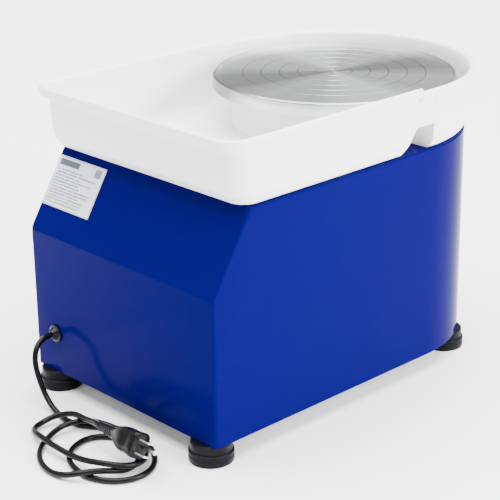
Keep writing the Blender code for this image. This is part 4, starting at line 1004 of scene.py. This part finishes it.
# ---------------------------------------------------------------- basin
@dataclass
class Basin:
    """The split splash basin: a squared rear tray and a round front guard."""

    tray_rear: float = -0.1997
    half: float = 0.1445
    rim_top: float = 0.3106
    guard_drop: float = 0.0035
    wall: float = 0.0028
    corner: float = 0.0240
    pedestal_radius: float = 0.1065
    pedestal_top: float = 0.2800
    pedestal_hole: float = 0.0150
    ledge_bottom: float = 0.2710
    ledge_top: float = 0.2738
    seam_back: float = 0.0040
    step_back: float = 0.0279
    notch_back: float = 0.0288
    hook_depth: float = 0.0094
    channel_clearance: float = 0.0007
    shoulder_drop: float = 0.0035
    core_span: Tuple[float, float] = (0.20, 0.33)
    far: float = 0.6

    @property
    def bottom(self) -> float:
        """Underside of the basin."""
        return DECK_TOP + GAP

    def rows(self, drop: float, filled: bool = False) -> List[Tuple[float, ...]]:
        """Sections up the outside, over the rim and down the inside.

        Args:
            drop: How far the rim stands below the tray's.
            filled: Only the outside, set in by 1 mm.

        Returns:
            Height, rear setback, side setback and corner of each section.
        """
        rim, low, corner, wall = self.rim_top - drop, self.bottom, self.corner, self.wall
        floor, thick = low + wall, 1.1 * wall
        outside: List[Row] = [
            (low, 0.0310, 0.0150, corner - 0.008), (low + 0.0018, 0.0225, 0.0105, corner - 0.008),
            (low + 0.0075, 0.0180, 0.0080, corner - 0.007), (low + 0.0128, 0.0135, 0.0062, corner - 0.006),
            (low + 0.0455, 0.0105, 0.0055, corner - 0.005), (rim - 0.0101, 0.0098, 0.0052, corner - 0.005)]
        if filled:
            return [(z, rear + 0.001, side + 0.001, radius) for z, rear, side, radius in outside]
        rolled: List[Row] = [
            (rim - 0.0094, 0.0020, 0.0020, corner), (rim - 0.0086, 0.0002, 0.0002, corner),
            (rim - 0.0021, 0.0, 0.0, corner), (rim, 0.0018, 0.0018, corner - 0.001),
            (rim, 0.0060, 0.0048, corner - 0.004), (rim - 0.0024, 0.0100, 0.0070, corner - 0.005)]
        inside: List[Row] = [
            (rim - 0.0106, 0.0098 + wall, 0.0052 + wall, corner - 0.007),
            (low + 0.0455, 0.0105 + wall, 0.0055 + wall, corner - 0.008),
            (low + 0.0128, 0.0135 + wall, 0.0062 + wall, corner - 0.009),
            (floor + 0.0050, 0.0180 + thick, 0.0080 + thick, corner - 0.010),
            (floor + 0.0012, 0.0225 + thick, 0.0105 + thick, corner - 0.011),
            (floor, 0.0310 + wall, 0.0150 + wall, corner - 0.012)]
        return softened(outside + rolled + inside)

    def stack(self, rows: Sequence[Sequence[float]]) -> Shape:
        """Bridge the plan rings of some sections."""
        shape = Shape()
        loops = [shape.plan_ring(self.tray_rear + rear, self.half - side, radius, z)
                 for z, rear, side, radius in rows]
        return shape.stacked(loops)

    def pedestal(self) -> Shape:
        """The raised round floor under the wheel head."""
        radius, wall, top = self.pedestal_radius, self.wall, self.pedestal_top
        foot, floor, hole = self.bottom + 0.0007, self.bottom + wall, self.pedestal_hole
        outer = [(hole, top), (radius - 0.0070, top), (radius - 0.0045, top - 0.0008),
                 (radius - 0.0035, top - 0.0025),
                 (radius - 0.0015, floor + 0.003), (radius, foot)]
        inner = [(radius - wall, foot), (radius - 0.0015 - wall, floor + 0.003),
                 (radius - 0.0035 - wall, top - 0.0045), (radius - 0.0070 - wall, top - wall),
                 (hole, top - wall)]
        return Shape().turned(outer + inner, (AXIS_X, 0, 0), 128, True)

    def core(self, radius: float) -> Shape:
        """A rod on the spindle's axis, past the basin above and below."""
        low, high = self.core_span
        return Shape().rod(radius, (AXIS_X, 0, low), (AXIS_X, 0, high), 128)

    def whole(self, name: str, drop: float) -> bpy.types.Object:
        """A whole basin with its pedestal, before the split."""
        piece = self.stack(self.rows(drop)).finished(name)
        radius = self.pedestal_radius - self.wall / 2
        floor_hole = Shape().rod(radius, (AXIS_X, 0, self.bottom - 0.01),
                                 (AXIS_X, 0, self.bottom + self.wall + 0.001), 128)
        carve(piece, floor_hole)
        carve(piece, self.pedestal(), Cut.JOIN)
        return piece

    def end_wall(self, outline: Sequence[Tuple[float, float]], drop: float) -> Shape:
        """A wall across the basin's channel, kept between its outer wall and the pedestal."""
        wall = Shape().prism(outline, -self.far / 2, self.far / 2).finished("end_wall")
        carve(wall, self.stack(softened(self.rows(drop, True))), Cut.SHARE)
        carve(wall, self.core(self.pedestal_radius - self.shoulder_drop))
        return reopened(wall)

    def tray(self) -> bpy.types.Object:
        """The rear tray, whose deep part ends in a soft slope under a ledge."""
        seam, notch = AXIS_X - self.seam_back, AXIS_X - self.notch_back
        low, below = self.bottom + 0.0006, self.bottom - 0.0142
        top, under = self.ledge_top, self.ledge_bottom
        slope = [(notch - 0.0246, low), (notch - 0.0190, top - 0.0223), (notch - 0.0122, top - 0.0159),
                 (notch - 0.0068, top - 0.0094), (notch - 0.0038, top - 0.0032), (notch + 0.0010, top)]
        saddle = softened(slope) + [(seam + 0.01, top), (seam + 0.01, low)]
        outer = [(notch - 0.0215, below), (notch - 0.0180, under - 0.0242), (notch - 0.0130, under - 0.0187),
                 (notch - 0.0078, under - 0.0115), (notch - 0.0040, under - 0.0050), (notch, under)]
        opening = softened(outer) + [(seam + 0.02, under), (seam + 0.02, below)]
        piece = self.whole("basin_tray_moulding", 0.0)
        carve(piece, self.end_wall(saddle, 0.0), Cut.JOIN)
        cutter = Shape().prism(opening, -self.far / 2, self.far / 2).finished("opening")
        carve(cutter, self.core(self.pedestal_radius + self.channel_clearance))
        carve(piece, reopened(cutter))
        carve(piece, Shape().box((seam, -self.far, 0.0), (self.far, self.far, self.far)))
        hook = self.rim_top - self.guard_drop - self.hook_depth
        step = AXIS_X - self.step_back
        carve(piece, Shape().box((step, -self.far, hook - GAP), (self.far, self.far, self.far)))
        return piece

    def guard(self) -> bpy.types.Object:
        """The front splash guard, whose rim laps over the tray's shoulders."""
        seam = AXIS_X - self.seam_back + GAP
        low, top = self.bottom + 0.0006, self.ledge_top
        face = [(seam, low), (seam, top), (seam + self.wall, top), (seam + self.wall, low)]
        piece = self.whole("splash_guard_moulding", self.guard_drop)
        carve(piece, self.end_wall(face, self.guard_drop), Cut.JOIN)
        hook = self.rim_top - self.guard_drop - self.hook_depth
        carve(piece, Shape().box((-self.far, -self.far, 0.0), (seam, self.far, hook)))
        step = AXIS_X - self.step_back + GAP
        carve(piece, Shape().box((-self.far, -self.far, hook - 0.02), (step, self.far, self.far)))
        return piece

    def build(self, wardrobe: Wardrobe) -> None:
        """Make both halves."""
        halves = ((self.tray(), "tray", "basin_tray"), (self.guard(), "guard", "splash_guard"))
        for piece, body, node in halves:
            smooth(piece, 38.0)
            soften_edges(piece, 0.0006)
            wardrobe.dress(piece, "white_plastic")
            hand_over(piece, body, "white_plastic", node)


# ---------------------------------------------------------------- wheel head
@dataclass
class WheelHead:
    """The turned aluminium disc with its centring rings."""

    radius: float = 0.1250
    top: float = 0.2970
    bottom: float = 0.2840
    rings: Tuple[float, ...] = HEAD_RINGS
    groove: float = 0.00055

    def build(self, wardrobe: Wardrobe) -> None:
        """Turn the disc."""
        top, depth = self.top, self.groove
        profile = [(0.0, top)]
        for ring in self.rings:
            inner, outer = ring - depth * 0.3, ring + depth * 0.3
            profile += [(ring - depth, top), (inner, top - depth), (outer, top - depth), (ring + depth, top)]
        edge = self.radius
        profile += [(edge - 0.0034, top), (edge - 0.0030, top - 0.0004), (edge - 0.0026, top),
                    (edge - 0.0010, top), (edge - 0.0003, top - 0.0003), (edge, top - 0.0010),
                    (edge, self.bottom + 0.0012), (edge - 0.0004, self.bottom + 0.0004),
                    (edge - 0.0012, self.bottom), (0.0, self.bottom)]
        disc = Shape().turned(profile, (AXIS_X, 0, 0), 192).finished("wheel_head_disc", 30.0)
        wardrobe.dress(disc, "turned_aluminium")
        hand_over(disc, "wheel", "turned_aluminium", "wheel_head")


# ---------------------------------------------------------------- controls
@dataclass
class Controls:
    """The fluted speed knob on the control plate."""

    knob_x: float = -0.105
    face_y: float = 0.1373
    knob_z: float = 0.178
    radius: float = 0.0150
    height: float = 0.0096
    flutes: int = 30

    def build(self, wardrobe: Wardrobe) -> None:
        """Mould the knob."""
        radius, height = self.radius, self.height
        profile = [(0.0, height - 0.0005), (radius - 0.0050, height - 0.0005), (radius - 0.0042, height),
                   (radius - 0.0024, height), (radius - 0.0010, height - 0.0010), (radius, 0.0020),
                   (radius, 0.0006), (0.0034, 0.0006), (0.0034, height - 0.0029), (0.0, height - 0.0029)]
        shape = Shape().turned(profile, (0, 0, 0), self.flutes * 6)
        for vert in shape.bm.verts:
            reach = math.hypot(vert.co.x, vert.co.y)
            if reach > radius - 0.0015 and vert.co.z > 0.0015:
                wave = 0.5 + 0.5 * math.cos(self.flutes * math.atan2(vert.co.y, vert.co.x))
                vert.co.x *= 1.0 - 0.045 * wave
                vert.co.y *= 1.0 - 0.045 * wave
        spot = (self.knob_x, self.face_y, self.knob_z)
        turn = Matrix.Translation(spot) @ Matrix.Rotation(-math.pi / 2, 4, "X")
        knob = shape.moved(turn).finished("speed_knob_moulding", 40.0)
        wardrobe.dress(knob, "knob")
        hand_over(knob, "knob", "switch_black", "speed_knob")


def main() -> None:
    """Build the studio, then each sub-assembly in order."""
    logging.basicConfig(level=logging.INFO, format="%(name)s: %(message)s")
    Studio().build()
    wardrobe = Wardrobe()
    wardrobe.dress_frame(frame["record"], frame["nodes"])
    for part in (Lead(), Housing(), Basin(), WheelHead(), Controls()):
        part.build(wardrobe)


if __name__ == "__main__":
    main()
